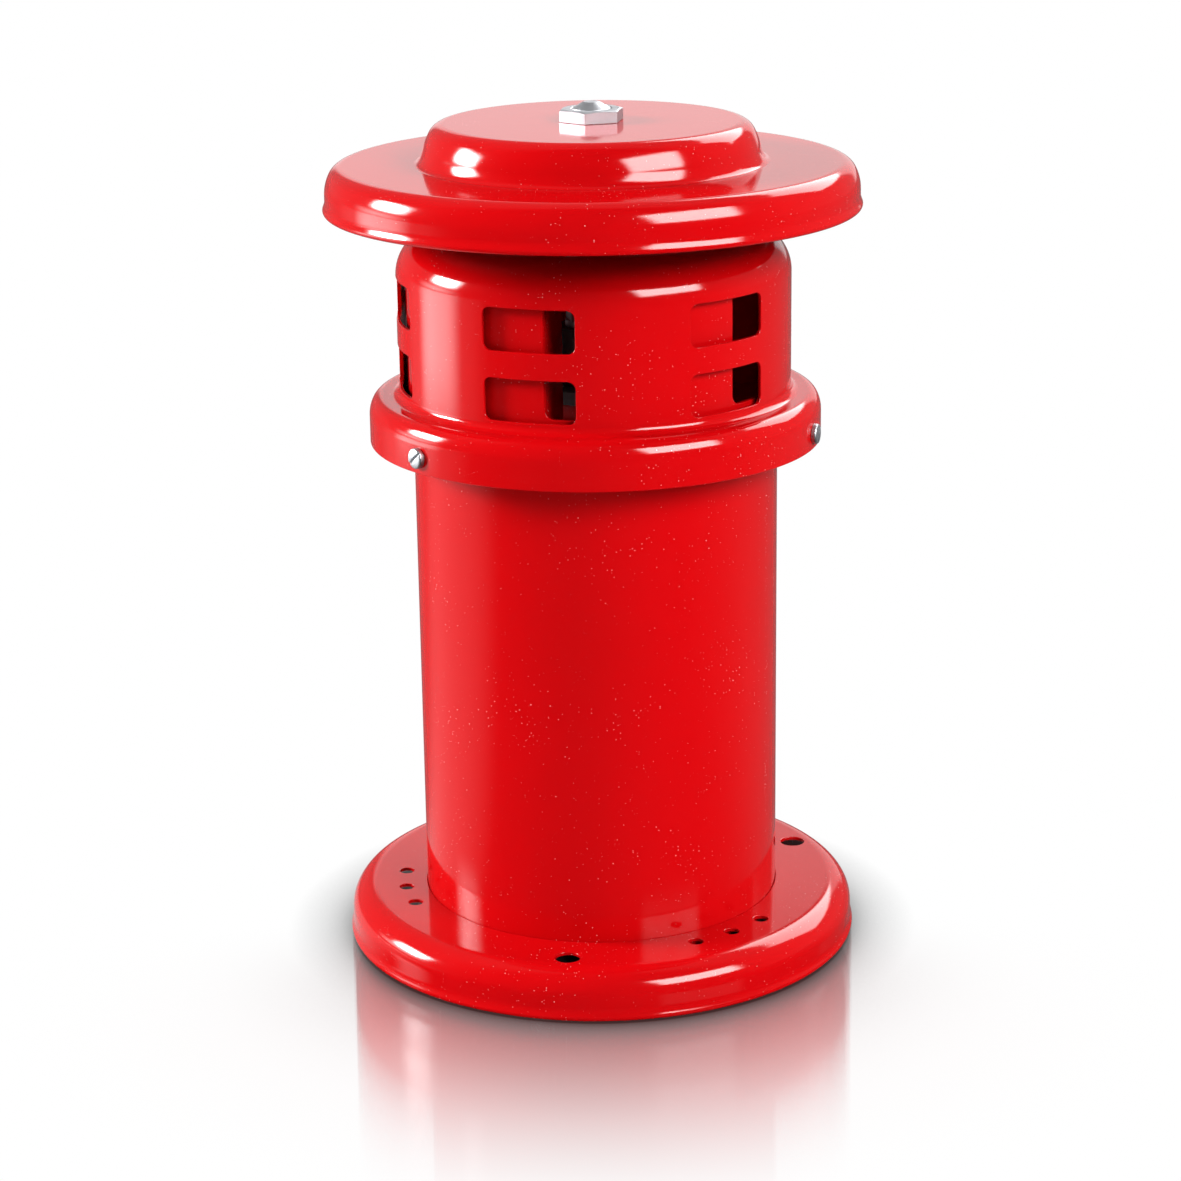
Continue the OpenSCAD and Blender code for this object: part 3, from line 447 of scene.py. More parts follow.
def tube(points: np.ndarray, radius: float, sides: int) -> Skin:
    """Round tube along a line of points, closed at both ends.

    Args:
        points: Points of the centreline, in millimetres.
        radius: Radius of the tube.
        sides: Corners of its section.

    Returns:
        The tube's mesh.
    """
    skin = Skin()
    way = np.gradient(points, axis=0)
    way /= np.linalg.norm(way, axis=1, keepdims=True)
    side = np.cross(way[0], [0.3, 0.5, 0.8])
    loops = []
    for point, along in zip(points, way):
        side = side - (side @ along) * along
        side /= np.linalg.norm(side)
        across = np.cross(along, side)
        angles = np.radians(np.arange(sides) * 360 / sides)[:, None]
        ring = np.cos(angles) * side + np.sin(angles) * across
        loops.append(skin.add(point + radius * ring, ring))
    skin.bridge(loops)
    skin.faces.append(tuple(loops[0][::-1]))
    skin.faces.append(tuple(loops[-1]))
    return skin


def smooth_line(points: Sequence[Sequence[float]], steps: int) -> np.ndarray:
    """Smooth line through points, with this many steps from each to the next."""
    spots = np.array([points[0], *points, points[-1]], float)
    line = []
    for a, b, c, d in zip(spots, spots[1:], spots[2:], spots[3:]):
        for t in np.arange(steps) / steps:
            square, cube = 2 * a - 5 * b + 4 * c - d, 3 * b - a - 3 * c + d
            line.append(0.5 * (2 * b + (c - a) * t + square * t**2 + cube * t**3))
    line.append(spots[-1])
    return np.array(line)


# Finishes


class Graph:
    """Short hand for adding and joining the nodes of one tree."""

    def __init__(self, tree: Tree) -> None:
        """Clears the tree."""
        self.tree = tree
        tree.nodes.clear()

    def add(self, kind: str, settings: dict | None = None, **sockets: object) -> Node:
        """Adds a node.

        Args:
            kind: Blender's name of the node type.
            settings: Properties of the node.
            sockets: Values or outputs for its inputs. An underscore in a name stands for a space, and iN
                is input number N.

        Returns:
            The node.
        """
        node = self.tree.nodes.new(kind)
        for key, value in (settings or {}).items():
            setattr(node, key, value)
        for key, value in sockets.items():
            spot = node.inputs[int(key[1:]) if key[1:].isdigit() else key.replace("_", " ")]
            if isinstance(value, Socket):
                self.tree.links.new(value, spot)
            else:
                spot.default_value = value
        return node

    def math(self, operation: str, a: object, b: object = 0.0) -> Socket:
        """Result of a sum on two values."""
        return self.add("ShaderNodeMath", {"operation": operation}, i0=a, i1=b).outputs[0]

    def mix(self, share: object, a: object, b: object) -> Socket:
        """Blend of two colours."""
        return self.add("ShaderNodeMix", {"data_type": "RGBA"}, i0=share, i6=a, i7=b).outputs[2]

    def vector(self, operation: str, a: object, b: object) -> Socket:
        """Result of a sum on two vectors."""
        return self.add("ShaderNodeVectorMath", {"operation": operation}, i0=a, i1=b).outputs[0]

    def place(self) -> Socket:
        """Place on the piece, in metres."""
        return self.add("ShaderNodeTexCoord").outputs["Object"]

    def noise(self, place: object, scale: object, detail: float) -> Socket:
        """Cloudy noise at a place."""
        return self.add("ShaderNodeTexNoise", Vector=place, Scale=scale, Detail=detail).outputs[0]

    def ramp(self, value: object, ends: Pair, span: Pair) -> Socket:
        """Smooth step of a value between two ends onto a span."""
        return self.add(
            "ShaderNodeMapRange", {"interpolation_type": "SMOOTHSTEP"},
            Value=value, From_Min=ends[0], From_Max=ends[1], To_Min=span[0], To_Max=span[1],
        ).outputs[0]

    def towards(self, place: object, way: Vector) -> Socket:
        """Cosine between a place's level direction and a level way."""
        level = self.vector("MULTIPLY", place, (1.0, 1.0, 0.0))
        unit = self.add("ShaderNodeVectorMath", {"operation": "NORMALIZE"}, i0=level).outputs[0]
        dot = self.add("ShaderNodeVectorMath", {"operation": "DOT_PRODUCT"}, i0=unit, i1=way)
        return dot.outputs["Value"]


class Effects:
    """Shader node groups that several finishes share, each built once."""

    FLOAT = "NodeSocketFloat"
    COLOUR = "NodeSocketColor"
    FINE_TIMES = 3.7
    FINE_SHARE = 0.3
    PATCH_SCALE = 45.0
    PATCH_GAIN = 2.0
    RARITY = 5.0
    GRAIN_EDGE = 3.0

    def __init__(self) -> None:
        """Builds the groups."""
        self.relief = self._relief()
        self.specks = self._specks()
        self.drift = self._drift()
        self.lines = self._lines()

    @staticmethod
    def _group(
        name: str, inputs: dict[str, str], output: tuple[str, str]
    ) -> tuple[Graph, dict[str, Socket], Socket]:
        """Starts a group.

        Args:
            name: Name of the group.
            inputs: Name of each input to its socket type.
            output: Name and socket type of the output.

        Returns:
            The group's graph, its inputs by name and the socket that takes its result.
        """
        tree = bpy.data.node_groups.new(name, "ShaderNodeTree")
        graph = Graph(tree)
        for label, kind in inputs.items():
            tree.interface.new_socket(label, in_out="INPUT", socket_type=kind)
        tree.interface.new_socket(output[0], in_out="OUTPUT", socket_type=output[1])
        given = graph.add("NodeGroupInput").outputs
        return graph, {label: given[label] for label in inputs}, graph.add("NodeGroupOutput").inputs[0]

    def _relief(self) -> Tree:
        """Fine uneven relief of a coat of paint, a casting or a moulding."""
        graph, given, result = self._group("fine_relief", {"Scale": self.FLOAT}, ("Height", self.FLOAT))
        place = graph.place()
        broad = graph.noise(place, given["Scale"], 1.0)
        fine = graph.noise(place, graph.math("MULTIPLY", given["Scale"], self.FINE_TIMES), 2.0)
        height = graph.math("ADD", broad, graph.math("MULTIPLY", fine, self.FINE_SHARE))
        graph.tree.links.new(height, result)
        return graph.tree

    def _specks(self) -> Tree:
        """Mask of small scattered grains of dust."""
        graph, given, result = self._group(
            "dust_specks", {"Scale": self.FLOAT, "Size": self.FLOAT}, ("Mask", self.FLOAT)
        )
        place = graph.place()
        cell = graph.add("ShaderNodeTexVoronoi", Vector=place, Scale=given["Scale"])
        chance = graph.add("ShaderNodeSeparateColor", Color=cell.outputs["Color"]).outputs[0]
        patch = graph.math("MULTIPLY", graph.noise(place, self.PATCH_SCALE, 1.0), self.PATCH_GAIN)
        grain = graph.math("MULTIPLY", graph.math("POWER", chance, self.RARITY), patch)
        reach = graph.math("MULTIPLY", given["Size"], grain)
        inside = graph.math("DIVIDE", graph.math("SUBTRACT", reach, cell.outputs["Distance"]), given["Size"])
        mask = graph.add("ShaderNodeClamp", Value=graph.math("MULTIPLY", inside, self.GRAIN_EDGE)).outputs[0]
        graph.tree.links.new(mask, result)
        return graph.tree

    def _drift(self) -> Tree:
        """Slow change of a colour's brightness over the surface."""
        graph, given, result = self._group(
            "tone_drift",
            {"Color": self.COLOUR, "Amount": self.FLOAT, "Scale": self.FLOAT},
            ("Color", self.COLOUR),
        )
        cloud = graph.noise(graph.place(), given["Scale"], 3.0)
        change = graph.math("MULTIPLY", graph.math("SUBTRACT", cloud, 0.5), given["Amount"])
        value = graph.math("ADD", change, 1.0)
        tone = graph.add("ShaderNodeHueSaturation", Value=value, Color=given["Color"])
        graph.tree.links.new(tone.outputs[0], result)
        return graph.tree

    def _lines(self) -> Tree:
        """Fine lines round the axis, as a lathe or a stack of sheets leaves them."""
        graph, given, result = self._group("turned_lines", {"Scale": self.FLOAT}, ("Height", self.FLOAT))
        parts = graph.add("ShaderNodeSeparateXYZ", Vector=graph.place())
        square = [graph.math("POWER", graph.math("ABSOLUTE", parts.outputs[i]), 2.0) for i in (0, 1)]
        radius = graph.math("SQRT", graph.math("ADD", *square))
        spot = graph.add("ShaderNodeCombineXYZ", X=radius, Y=parts.outputs[2]).outputs[0]
        graph.tree.links.new(graph.noise(spot, given["Scale"], 3.0), result)
        return graph.tree


@dataclass(frozen=True)
class Finish:
    """Finish of one material slot.

    Args:
        slot: The record's slot.
        colour: Linear colour.
        roughness: Roughness where the surface is even.
        metallic: 1 for bare metal.
        rough_spread: How far the roughness goes up and down.
        drift: How far the brightness goes up and down.
        drift_scale: Clouds of tone to a metre.
        relief_scale: Bumps to a metre.
        relief: Depth of the bumps in metres.
        lines_scale: Turned lines to a metre, or 0 for none.
        lines: Depth of the lines in metres.
        specks: Size of dust grains, as a share of their spacing, or 0 for none.
        speck_scale: Dust grains to a metre.
        speck_colour: Linear colour of dust.
        coat: Weight of a clear coat.
        coat_roughness: Roughness of that coat.
    """

    slot: Slot
    colour: tuple[float, float, float]
    roughness: float
    metallic: float = 0.0
    rough_spread: float = 0.1
    drift: float = 0.2
    drift_scale: float = 60.0
    relief_scale: float = 600.0
    relief: float = 0.00003
    lines_scale: float = 0.0
    lines: float = 0.00002
    specks: float = 0.0
    speck_scale: float = 1600.0
    speck_colour: tuple[float, float, float] = (0.9, 0.6, 0.58)
    coat: float = 0.0
    coat_roughness: float = 0.05
    RELIEF_MIDDLE = 0.65
    SPECK_ROUGHNESS = 0.3

    def build(self, effects: Effects) -> bpy.types.Material:
        """Makes the material.

        Args:
            effects: Groups to draw on.

        Returns:
            The material.
        """
        material = bpy.data.materials.new(self.slot.value)
        material.use_nodes = True
        graph = Graph(material.node_tree)
        colour = self._place(
            graph, effects.drift, Color=(*self.colour, 1.0), Amount=self.drift, Scale=self.drift_scale
        )
        relief = self._place(graph, effects.relief, Scale=self.relief_scale)
        uneven = graph.math("MULTIPLY", graph.math("SUBTRACT", relief, self.RELIEF_MIDDLE), self.rough_spread)
        roughness = graph.math("ADD", uneven, self.roughness)
        normal = graph.add("ShaderNodeBump", Strength=1.0, Distance=self.relief, Height=relief).outputs[0]
        if self.lines_scale:
            lines = self._place(graph, effects.lines, Scale=self.lines_scale)
            normal = graph.add(
                "ShaderNodeBump", Strength=1.0, Distance=self.lines, Height=lines, Normal=normal
            ).outputs[0]
        if self.specks:
            mask = self._place(graph, effects.specks, Scale=self.speck_scale, Size=self.specks)
            colour = graph.mix(mask, colour, (*self.speck_colour, 1.0))
            roughness = graph.math("ADD", roughness, graph.math("MULTIPLY", mask, self.SPECK_ROUGHNESS))
        shader = graph.add(
            "ShaderNodeBsdfPrincipled",
            Base_Color=colour,
            Metallic=self.metallic,
            Roughness=roughness,
            Normal=normal,
            Coat_Weight=self.coat,
            Coat_Roughness=self.coat_roughness,
        )
        end = graph.add("ShaderNodeOutputMaterial", Surface=shader.outputs[0])
        end.target = "ALL"
        return material

    @staticmethod
    def _place(graph: Graph, group: Tree, **values: object) -> Socket:
        """Places a group with its own values and gives its output."""
        return graph.add("ShaderNodeGroup", {"node_tree": group}, **values).outputs[0]


FINISHES = (
    Finish(
        Slot.ENAMEL, (0.57, 0.0016, 0.003), 0.085, rough_spread=0.03, drift=0.06, drift_scale=14.0,
        relief_scale=260.0, relief=0.000012, specks=0.18,
    ),
    # Cast aluminium darkened almost to black: a little oily dullness, mostly painted shade, so the hub and
    # brackets inside the housing read dark.
    Finish(Slot.CAST_SHADE_DARKENED, (0.15, 0.15, 0.155), 0.6, 1.0, 0.25, relief_scale=900.0, relief=0.00012),
    Finish(Slot.ZINC, (0.62, 0.63, 0.66), 0.46, 1.0, 0.22, drift=0.3, relief_scale=1500.0, relief=0.00003),
    Finish(Slot.STEEL, (0.55, 0.56, 0.58), 0.3, 1.0, 0.2, lines_scale=5000.0, relief=0.00001),
    Finish(
        Slot.BEARING, (0.72, 0.72, 0.74), 0.14, 1.0, 0.1, lines_scale=7000.0, lines=0.00001, relief=0.000004
    ),
    Finish(Slot.LAMINATION, (0.2, 0.2, 0.21), 0.45, 0.9, 0.2, lines_scale=2000.0, lines=0.0002),
    Finish(Slot.VARNISH, (0.42, 0.13, 0.04), 0.25, 0.4, 0.2, relief_scale=1100.0, relief=0.0003, coat=0.6),
    Finish(Slot.COPPER, (0.8, 0.36, 0.2), 0.28, 1.0, 0.2, lines_scale=4000.0),
    Finish(Slot.BRASS, (0.74, 0.52, 0.2), 0.3, 1.0, 0.2, relief_scale=1200.0, relief=0.00002),
    Finish(Slot.BAKELITE, (0.055, 0.022, 0.013), 0.35, 0.0, 0.2, drift=0.4, relief_scale=800.0),
    Finish(Slot.CARBON, (0.03, 0.03, 0.033), 0.5, 0.2, 0.2, relief_scale=2500.0, relief=0.00004),
    Finish(Slot.RUBBER, (0.018, 0.018, 0.018), 0.6, 0.0, 0.2, relief_scale=1400.0, relief=0.00004),
    Finish(Slot.LEAD, (0.025, 0.025, 0.028), 0.4, 0.0, 0.15, relief_scale=1000.0),
)


class Paintbox:
    """Every finish, made once, and how it goes on a piece."""

    def __init__(self) -> None:
        """Makes the materials."""
        effects = Effects()
        self.materials = {finish.slot: finish.build(effects) for finish in FINISHES}

    def coat(self, piece: Thing, slot: Slot) -> None:
        """Gives a piece the finish of a slot."""
        piece.data.materials.clear()
        piece.data.materials.append(self.materials[slot])

    def dress(self, piece: Thing, slot: Slot, body: Body, *nodes: str) -> None:
        """Finishes a piece, sets it on its body and lets it stand for CAD nodes.

        Args:
            piece: The piece, in place.
            slot: Slot of its finish.
            body: Body that it rides on.
            nodes: CAD nodes that it stands for.
        """
        self.coat(piece, slot)
        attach(piece, body.value)
        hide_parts(*nodes)
        log.info("%s on %s: %d faces", piece.name, body.value, len(piece.data.polygons))

    def keep(self, shown: dict[str, Thing], record: dict, sharp: float = 32.0) -> None:
        """Finishes the CAD nodes that stay, by their slot in the record.

        Args:
            shown: CAD nodes by name.
            record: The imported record.
            sharp: Angle in degrees above which an edge stays sharp.
        """
        slots = {part["node"]: Slot(part["material_slot"]) for part in record["subparts"]}
        for name, node in shown.items():
            if node.hide_render:
                continue
            self.coat(node, slots[name])
            node.data.shade_smooth()
            node.data.set_sharp_from_angle(angle=math.radians(sharp))
            log.info("%s kept", name)


# Sub-assemblies


@dataclass
class BaseFlange:
    """Pressed dish that the siren stands on, with its mounting and drain holes."""

    outer_r: float = 81.5
    bead_r: float = 82.9
    height: float = 15.5
    sheet: float = 1.2
    edge: float = 8.0
    tube_hole_r: float = 57.05
    flare_z: float = 3.1
    mount_ring_r: float = 69.0
    mount_r: float = 3.9
    mount_half: float = 7.0
    drain_ring_r: float = 64.2
    drain_r: float = 2.3
    drain_step: float = 12.2
    first_bearing: float = 10.0
    drain_turn: float = 48.0
    groups: int = 3
    lip_edge: float = 1.2
    flare_bend: float = 6.0
    cut_edge: float = 0.35
    inner_lip_edge: float = 0.9
    arc_step: float = 4.5
    ring_points: int = 11
    cell_points: int = 13
    plain_step: float = 1.5

    def outline(self) -> Outline:
        """Section of the dish."""
        inner, under = self.outer_r - self.sheet, self.height - self.sheet
        return Outline([
            Corner(self.bead_r, 0.0, self.lip_edge),
            Corner(self.outer_r, self.flare_z, self.flare_bend),
            Corner(self.outer_r, self.height, self.edge),
            Corner(self.tube_hole_r, self.height, self.cut_edge),
            Corner(self.tube_hole_r, under, self.cut_edge),
            Corner(inner, under, self.edge - self.sheet),
            Corner(inner, 0.0, self.inner_lip_edge),
        ], self.arc_step)

    def build(self, paint: Paintbox) -> None:
        """Builds the dish and finishes it."""
        outline = self.outline()
        band = Band(outline.path(outline.ends[2], outline.starts[3]), self.sheet, flat=True)
        places = np.linspace(0.0, band.length, self.ring_points)
        start_r = band.line[0, 0]
        skin = Skin()
        rings: list[np.ndarray] = []
        for group in range(self.groups):
            mount = self.first_bearing + group * 360 / self.groups
            cells = [(mount, self.mount_half, self.mount_ring_r, self.mount_r)]
            for i in (-1, 0, 1):
                drain = mount + self.drain_turn + i * self.drain_step
                cells.append((drain, self.drain_step / 2, self.drain_ring_r, self.drain_r))
            starts = [bearing - half for bearing, half, _, _ in cells[1:]]
            starts.append(mount + 360 / self.groups - self.mount_half)
            for (bearing, half, ring_r, hole_r), following in zip(cells, starts):
                across = np.linspace(bearing - half, bearing + half, self.cell_points)
                hole = Hole(bearing, start_r - ring_r, 2 * hole_r, 2 * hole_r, hole_r)
                band.pierce(skin, hole, across, places)
                rings.append(across[:-1])
                gap = following - across[-1]
                if gap > TINY:
                    plain = np.linspace(across[-1], across[-1] + gap, math.ceil(gap / self.plain_step) + 1)
                    band.fill(skin, plain, places)
                    rings.append(plain[:-1])
        turn(skin, outline, np.concatenate(rings), (outline.ends[2], outline.ends[4]))
        paint.dress(skin.to_object("base_dish"), Slot.ENAMEL, Body.SIREN, "base_flange")


@dataclass
class MotorTube:
    """Plain tube round the motor, with a flange turned out at its foot."""

    outer_r: float = 57.0
    wall: float = 1.5
    foot_r: float = 61.0
    foot_z: float = 12.8
    foot_top: float = 14.28
    top: float = 168.0
    edge: float = 0.3
    steps: int = 256

    def build(self, paint: Paintbox) -> None:
        """Builds the tube and finishes it."""
        bore = self.outer_r - self.wall
        outline = Outline([
            Corner(self.foot_r, self.foot_z, self.edge),
            Corner(self.foot_r, self.foot_top, self.edge),
            Corner(self.outer_r, self.foot_top, self.edge),
            Corner(self.outer_r, self.top, self.edge),
            Corner(bore, self.top, self.edge),
            Corner(bore, self.foot_z, self.edge),
        ])
        skin = Skin()
        turn(skin, outline, even_bearings(self.steps))
        paint.dress(skin.to_object("tube_shell"), Slot.ENAMEL, Body.SIREN, "motor_tube")


@dataclass
class ChopperHousing:
    """Pressed housing with two rows of windows, a collar and a rounded top."""

    collar_r: float = 70.6
    collar_z: float = 163.8
    collar_top: float = 178.5
    collar_bend: float = 4.0
    collar_bulge: float = 8.5
    hollow: float = 2.5
    drum_r: float = 61.2
    drum_top: float = 229.5
    drum_edge: float = 13.5
    inlet_r: float = 40.0
    sheet: float = 1.2
    columns: int = 6
    column_steps: int = 42
    window_w: float = 28.6
    window_h: float = 13.0
    window_corner: float = 2.4
    row_heights: tuple[float, float] = (188.1, 209.2)
    screw_z: float = 168.7
    screw_r: float = 2.15
    screw_bearings: tuple[float, float, float] = (-30.0, 90.0, 210.0)
    cut_edge: float = 0.35
    arc_step: float = 4.5
    row_points: int = 15
    collar_points: int = 9
    screw_steps: int = 8

    def outline(self) -> Outline:
        """Section of the pressing."""
        outer = [
            Corner(self.collar_r, self.collar_z, self.cut_edge),
            *shoulder(self.collar_r, self.collar_top, self.collar_bend, self.collar_bulge),
            Corner(self.drum_r, self.collar_top, self.hollow),
            Corner(self.drum_r, self.drum_top, self.drum_edge),
            Corner(self.inlet_r, self.drum_top, self.cut_edge),
        ]
        return Outline([*outer, *lining(outer, self.sheet)], self.arc_step)

    def build(self, paint: Paintbox) -> None:
        """Builds the housing and finishes it."""
        outline = self.outline()
        skin = Skin()
        step = 360 / self.columns / self.column_steps
        bearings = even_bearings(self.columns * self.column_steps, self.screw_bearings[0])
        wall = Band(outline.path(outline.ends[3], outline.starts[4]), self.sheet)
        middle = wall.place_of_height(sum(self.row_heights) / 2)
        rows = [np.linspace(*ends, self.row_points) for ends in ((0.0, middle), (middle, wall.length))]
        half = self.column_steps / 2 * step
        for column in range(self.columns):
            bearing = column * 360 / self.columns
            across = np.linspace(bearing - half, bearing + half, self.column_steps + 1)
            for height, places in zip(self.row_heights, rows):
                place = wall.place_of_height(height)
                window = Hole(bearing, place, self.window_w, self.window_h, self.window_corner)
                wall.pierce(skin, window, across, places)
        collar = Band(outline.path(outline.ends[0], outline.starts[1]), self.sheet)
        places = np.linspace(0.0, collar.length, self.collar_points)
        place = collar.place_of_height(self.screw_z)
        spread = self.screw_steps / 2 * step
        for bearing in self.screw_bearings:
            across = np.linspace(bearing - spread, bearing + spread, self.screw_steps + 1)
            hole = Hole(bearing, place, 2 * self.screw_r, 2 * self.screw_r, self.screw_r)
            collar.pierce(skin, hole, across, places)
            count = round((360 / len(self.screw_bearings) - 2 * spread) / step)
            start = bearing + spread
            collar.fill(skin, np.linspace(start, start + count * step, count + 1), places)
        gaps = (outline.ends[3], outline.ends[7], outline.ends[0], outline.ends[10])
        turn(skin, outline, bearings, gaps)
        paint.dress(skin.to_object("housing_shell"), Slot.ENAMEL, Body.SIREN, "chopper_housing")


@dataclass
class Rotor:
    """Ported drum that turns inside the housing."""

    outer_r: float = 58.2
    sheet: float = 1.5
    floor_z: float = 175.5
    top: float = 226.0
    edge: float = 11.5
    floor_edge: float = 4.0
    eye_r: float = 37.5
    hub_hole_r: float = 11.02
    ports: int = 6
    port_w: float = 28.2
    port_z: float = 182.3
    port_top: float = 219.0
    port_corner: float = 3.2
    first_bearing: float = 18.0
    port_steps: int = 40
    port_points: int = 19
    eye_edge: float = 0.4
    hub_edge: float = 0.3
    arc_step: float = 3.0
    arc_share: int = 15

    def build(self, paint: Paintbox) -> None:
        """Builds the drum and finishes it."""
        t = self.sheet
        outline = Outline([
            Corner(self.outer_r, self.floor_z, self.floor_edge),
            Corner(self.outer_r, self.top, self.edge),
            Corner(self.eye_r, self.top, self.eye_edge),
            Corner(self.eye_r, self.top - t, self.eye_edge),
            Corner(self.outer_r - t, self.top - t, self.edge - t),
            Corner(self.outer_r - t, self.floor_z + t, self.floor_edge - t),
            Corner(self.hub_hole_r, self.floor_z + t, self.hub_edge),
            Corner(self.hub_hole_r, self.floor_z, self.hub_edge),
        ], self.arc_step)
        last = outline.starts[1] + self.arc_share
        wall = Band(outline.path(outline.ends[0], last), t)
        low, high = wall.place_of_height(self.port_z), wall.place_of_height(self.port_top)
        places = np.linspace(0.0, wall.length, self.port_points)
        half = 180 / self.ports
        skin = Skin()
        for port in range(self.ports):
            bearing = self.first_bearing + port * 360 / self.ports
            across = np.linspace(bearing - half, bearing + half, self.port_steps + 1)
            hole = Hole(bearing, (low + high) / 2, self.port_w, high - low, self.port_corner)
            wall.pierce(skin, hole, across, places)
        inner = outline.ends[4] - self.arc_share
        gaps = [*range(outline.ends[0], last), *range(inner, outline.starts[5])]
        turn(skin, outline, even_bearings(self.ports * self.port_steps, self.first_bearing - half), gaps)
        paint.dress(skin.to_object("rotor_shell"), Slot.ENAMEL, Body.ROTOR, "rotor_drum")


@dataclass
class RainCap:
    """Pressed hood with a raised crown."""

    brim_r: float = 82.1
    bead_r: float = 83.4
    brim_z: float = 235.8
    flare_z: float = 239.0
    brim_top: float = 250.0
    brim_bend: float = 5.0
    brim_bulge: float = 12.5
    crown_foot: Corner = Corner(53.44, 250.0, 2.25)
    crown_waist: Corner = Corner(52.06, 252.6, 12.0)
    crown_bulge: Corner = Corner(51.08, 256.81, 20.7)
    crown_edge: Corner = Corner(48.22, 262.2, 5.5)
    stud_hole_r: float = 6.1
    sheet: float = 1.2
    inner_lip_edge: float = 0.9
    hole_edge: float = 0.25
    lip_edge: float = 1.2
    flare_bend: float = 5.0
    arc_step: float = 4.5
    steps: int = 288

    def build(self, paint: Paintbox) -> None:
        """Builds the hood and finishes it."""
        outer = [
            Corner(self.brim_r, self.brim_z, self.inner_lip_edge),
            *shoulder(self.brim_r, self.brim_top, self.brim_bend, self.brim_bulge),
            self.crown_foot, self.crown_waist, self.crown_bulge, self.crown_edge,
            Corner(self.stud_hole_r, self.crown_edge.z, self.hole_edge),
        ]
        rim = [
            Corner(self.bead_r, self.brim_z, self.lip_edge),
            Corner(self.brim_r, self.flare_z, self.flare_bend),
        ]
        outline = Outline([*rim, *outer[1:], *lining(outer, self.sheet)], self.arc_step)
        skin = Skin()
        turn(skin, outline, even_bearings(self.steps))
        paint.dress(skin.to_object("cap_shell"), Slot.ENAMEL, Body.SIREN, "rain_cap")


@dataclass
class CapFixings:
    """Nut on the crown and the stud that comes through it."""

    stud_r: float = 5.9
    stud_z: float = 219.5
    nut_z: float = 262.2
    nut_top: float = 266.0
    stud_top: float = 268.0
    stud_tip_r: float = 2.54
    stud_foot_edge: float = 0.6
    stud_edge: float = 0.3
    stud_tip_edge: float = 0.5
    stud_steps: int = 96
    arc_step: float = 9.0
    nut_w: float = 18.0
    nut_corner_cut: float = 0.075
    nut_slope: float = 15.0
    nut_land: float = 0.3
    nut_foot_in: float = 0.5
    nut_top_in: float = 0.6
    nut_mouth: float = 0.5
    nut_mouth_depth: float = 0.4
    nut_slip: float = 0.02
    nut_bearing: float = 8.0
    nut_sharp: float = 24.0
    side_steps: int = 10
    bevel: float = 0.14

    def build(self, paint: Paintbox) -> None:
        """Builds the stud and the nut and finishes them."""
        skin = Skin()
        outline = Outline([
            Corner(0.0, self.stud_z, 0.0),
            Corner(self.stud_r, self.stud_z, self.stud_foot_edge),
            Corner(self.stud_r, self.nut_top, self.stud_edge),
            Corner(self.stud_tip_r, self.stud_top, self.stud_tip_edge),
            Corner(0.0, self.stud_top, 0.0),
        ], self.arc_step)
        turn(skin, outline, even_bearings(self.stud_steps))
        paint.dress(skin.to_object("stud_end"), Slot.ZINC, Body.SIREN, "cap_stud")
        nut = self._nut()
        nut.data.set_sharp_from_angle(angle=math.radians(self.nut_sharp))
        paint.dress(nut, Slot.ZINC, Body.SIREN, "cap_nut")

    def _nut(self) -> Thing:
        """Hex nut with a chamfered top and softened edges."""
        apothem = self.nut_w / 2
        corner_r = apothem / math.cos(math.radians(30))
        bearings, reach = [], []
        for side in range(6):
            for k in range(self.side_steps):
                angle = 60 * k / self.side_steps
                bearings.append(self.nut_bearing + 60 * side + angle)
                true_r = apothem / math.cos(math.radians(angle - 30))
                reach.append(min(true_r, corner_r - self.nut_corner_cut))
        at, hex_r = np.array(bearings), np.array(reach)
        chamfer = (hex_r - apothem + self.nut_land) * math.tan(math.radians(self.nut_slope))
        b, bore = self.bevel, self.stud_r + self.nut_slip
        rows = (
            (bore, self.nut_z),
            (apothem - self.nut_foot_in, self.nut_z),
            (hex_r - b, self.nut_z),
            (hex_r, self.nut_z + b),
            (hex_r, self.nut_top - chamfer - b),
            (hex_r - b, self.nut_top - chamfer),
            (apothem - self.nut_land, self.nut_top),
            (apothem - self.nut_top_in, self.nut_top),
            (self.stud_r + self.nut_mouth, self.nut_top),
            (bore, self.nut_top - self.nut_mouth_depth),
        )
        skin = Skin()
        loops = []
        for r, z in rows:
            points = swing(at, r, z)
            loops.append(skin.add(points, points - [0, 0, self.nut_z]))
        skin.bridge([*loops, loops[0]])
        return skin.to_object("hex_nut", exact=False)


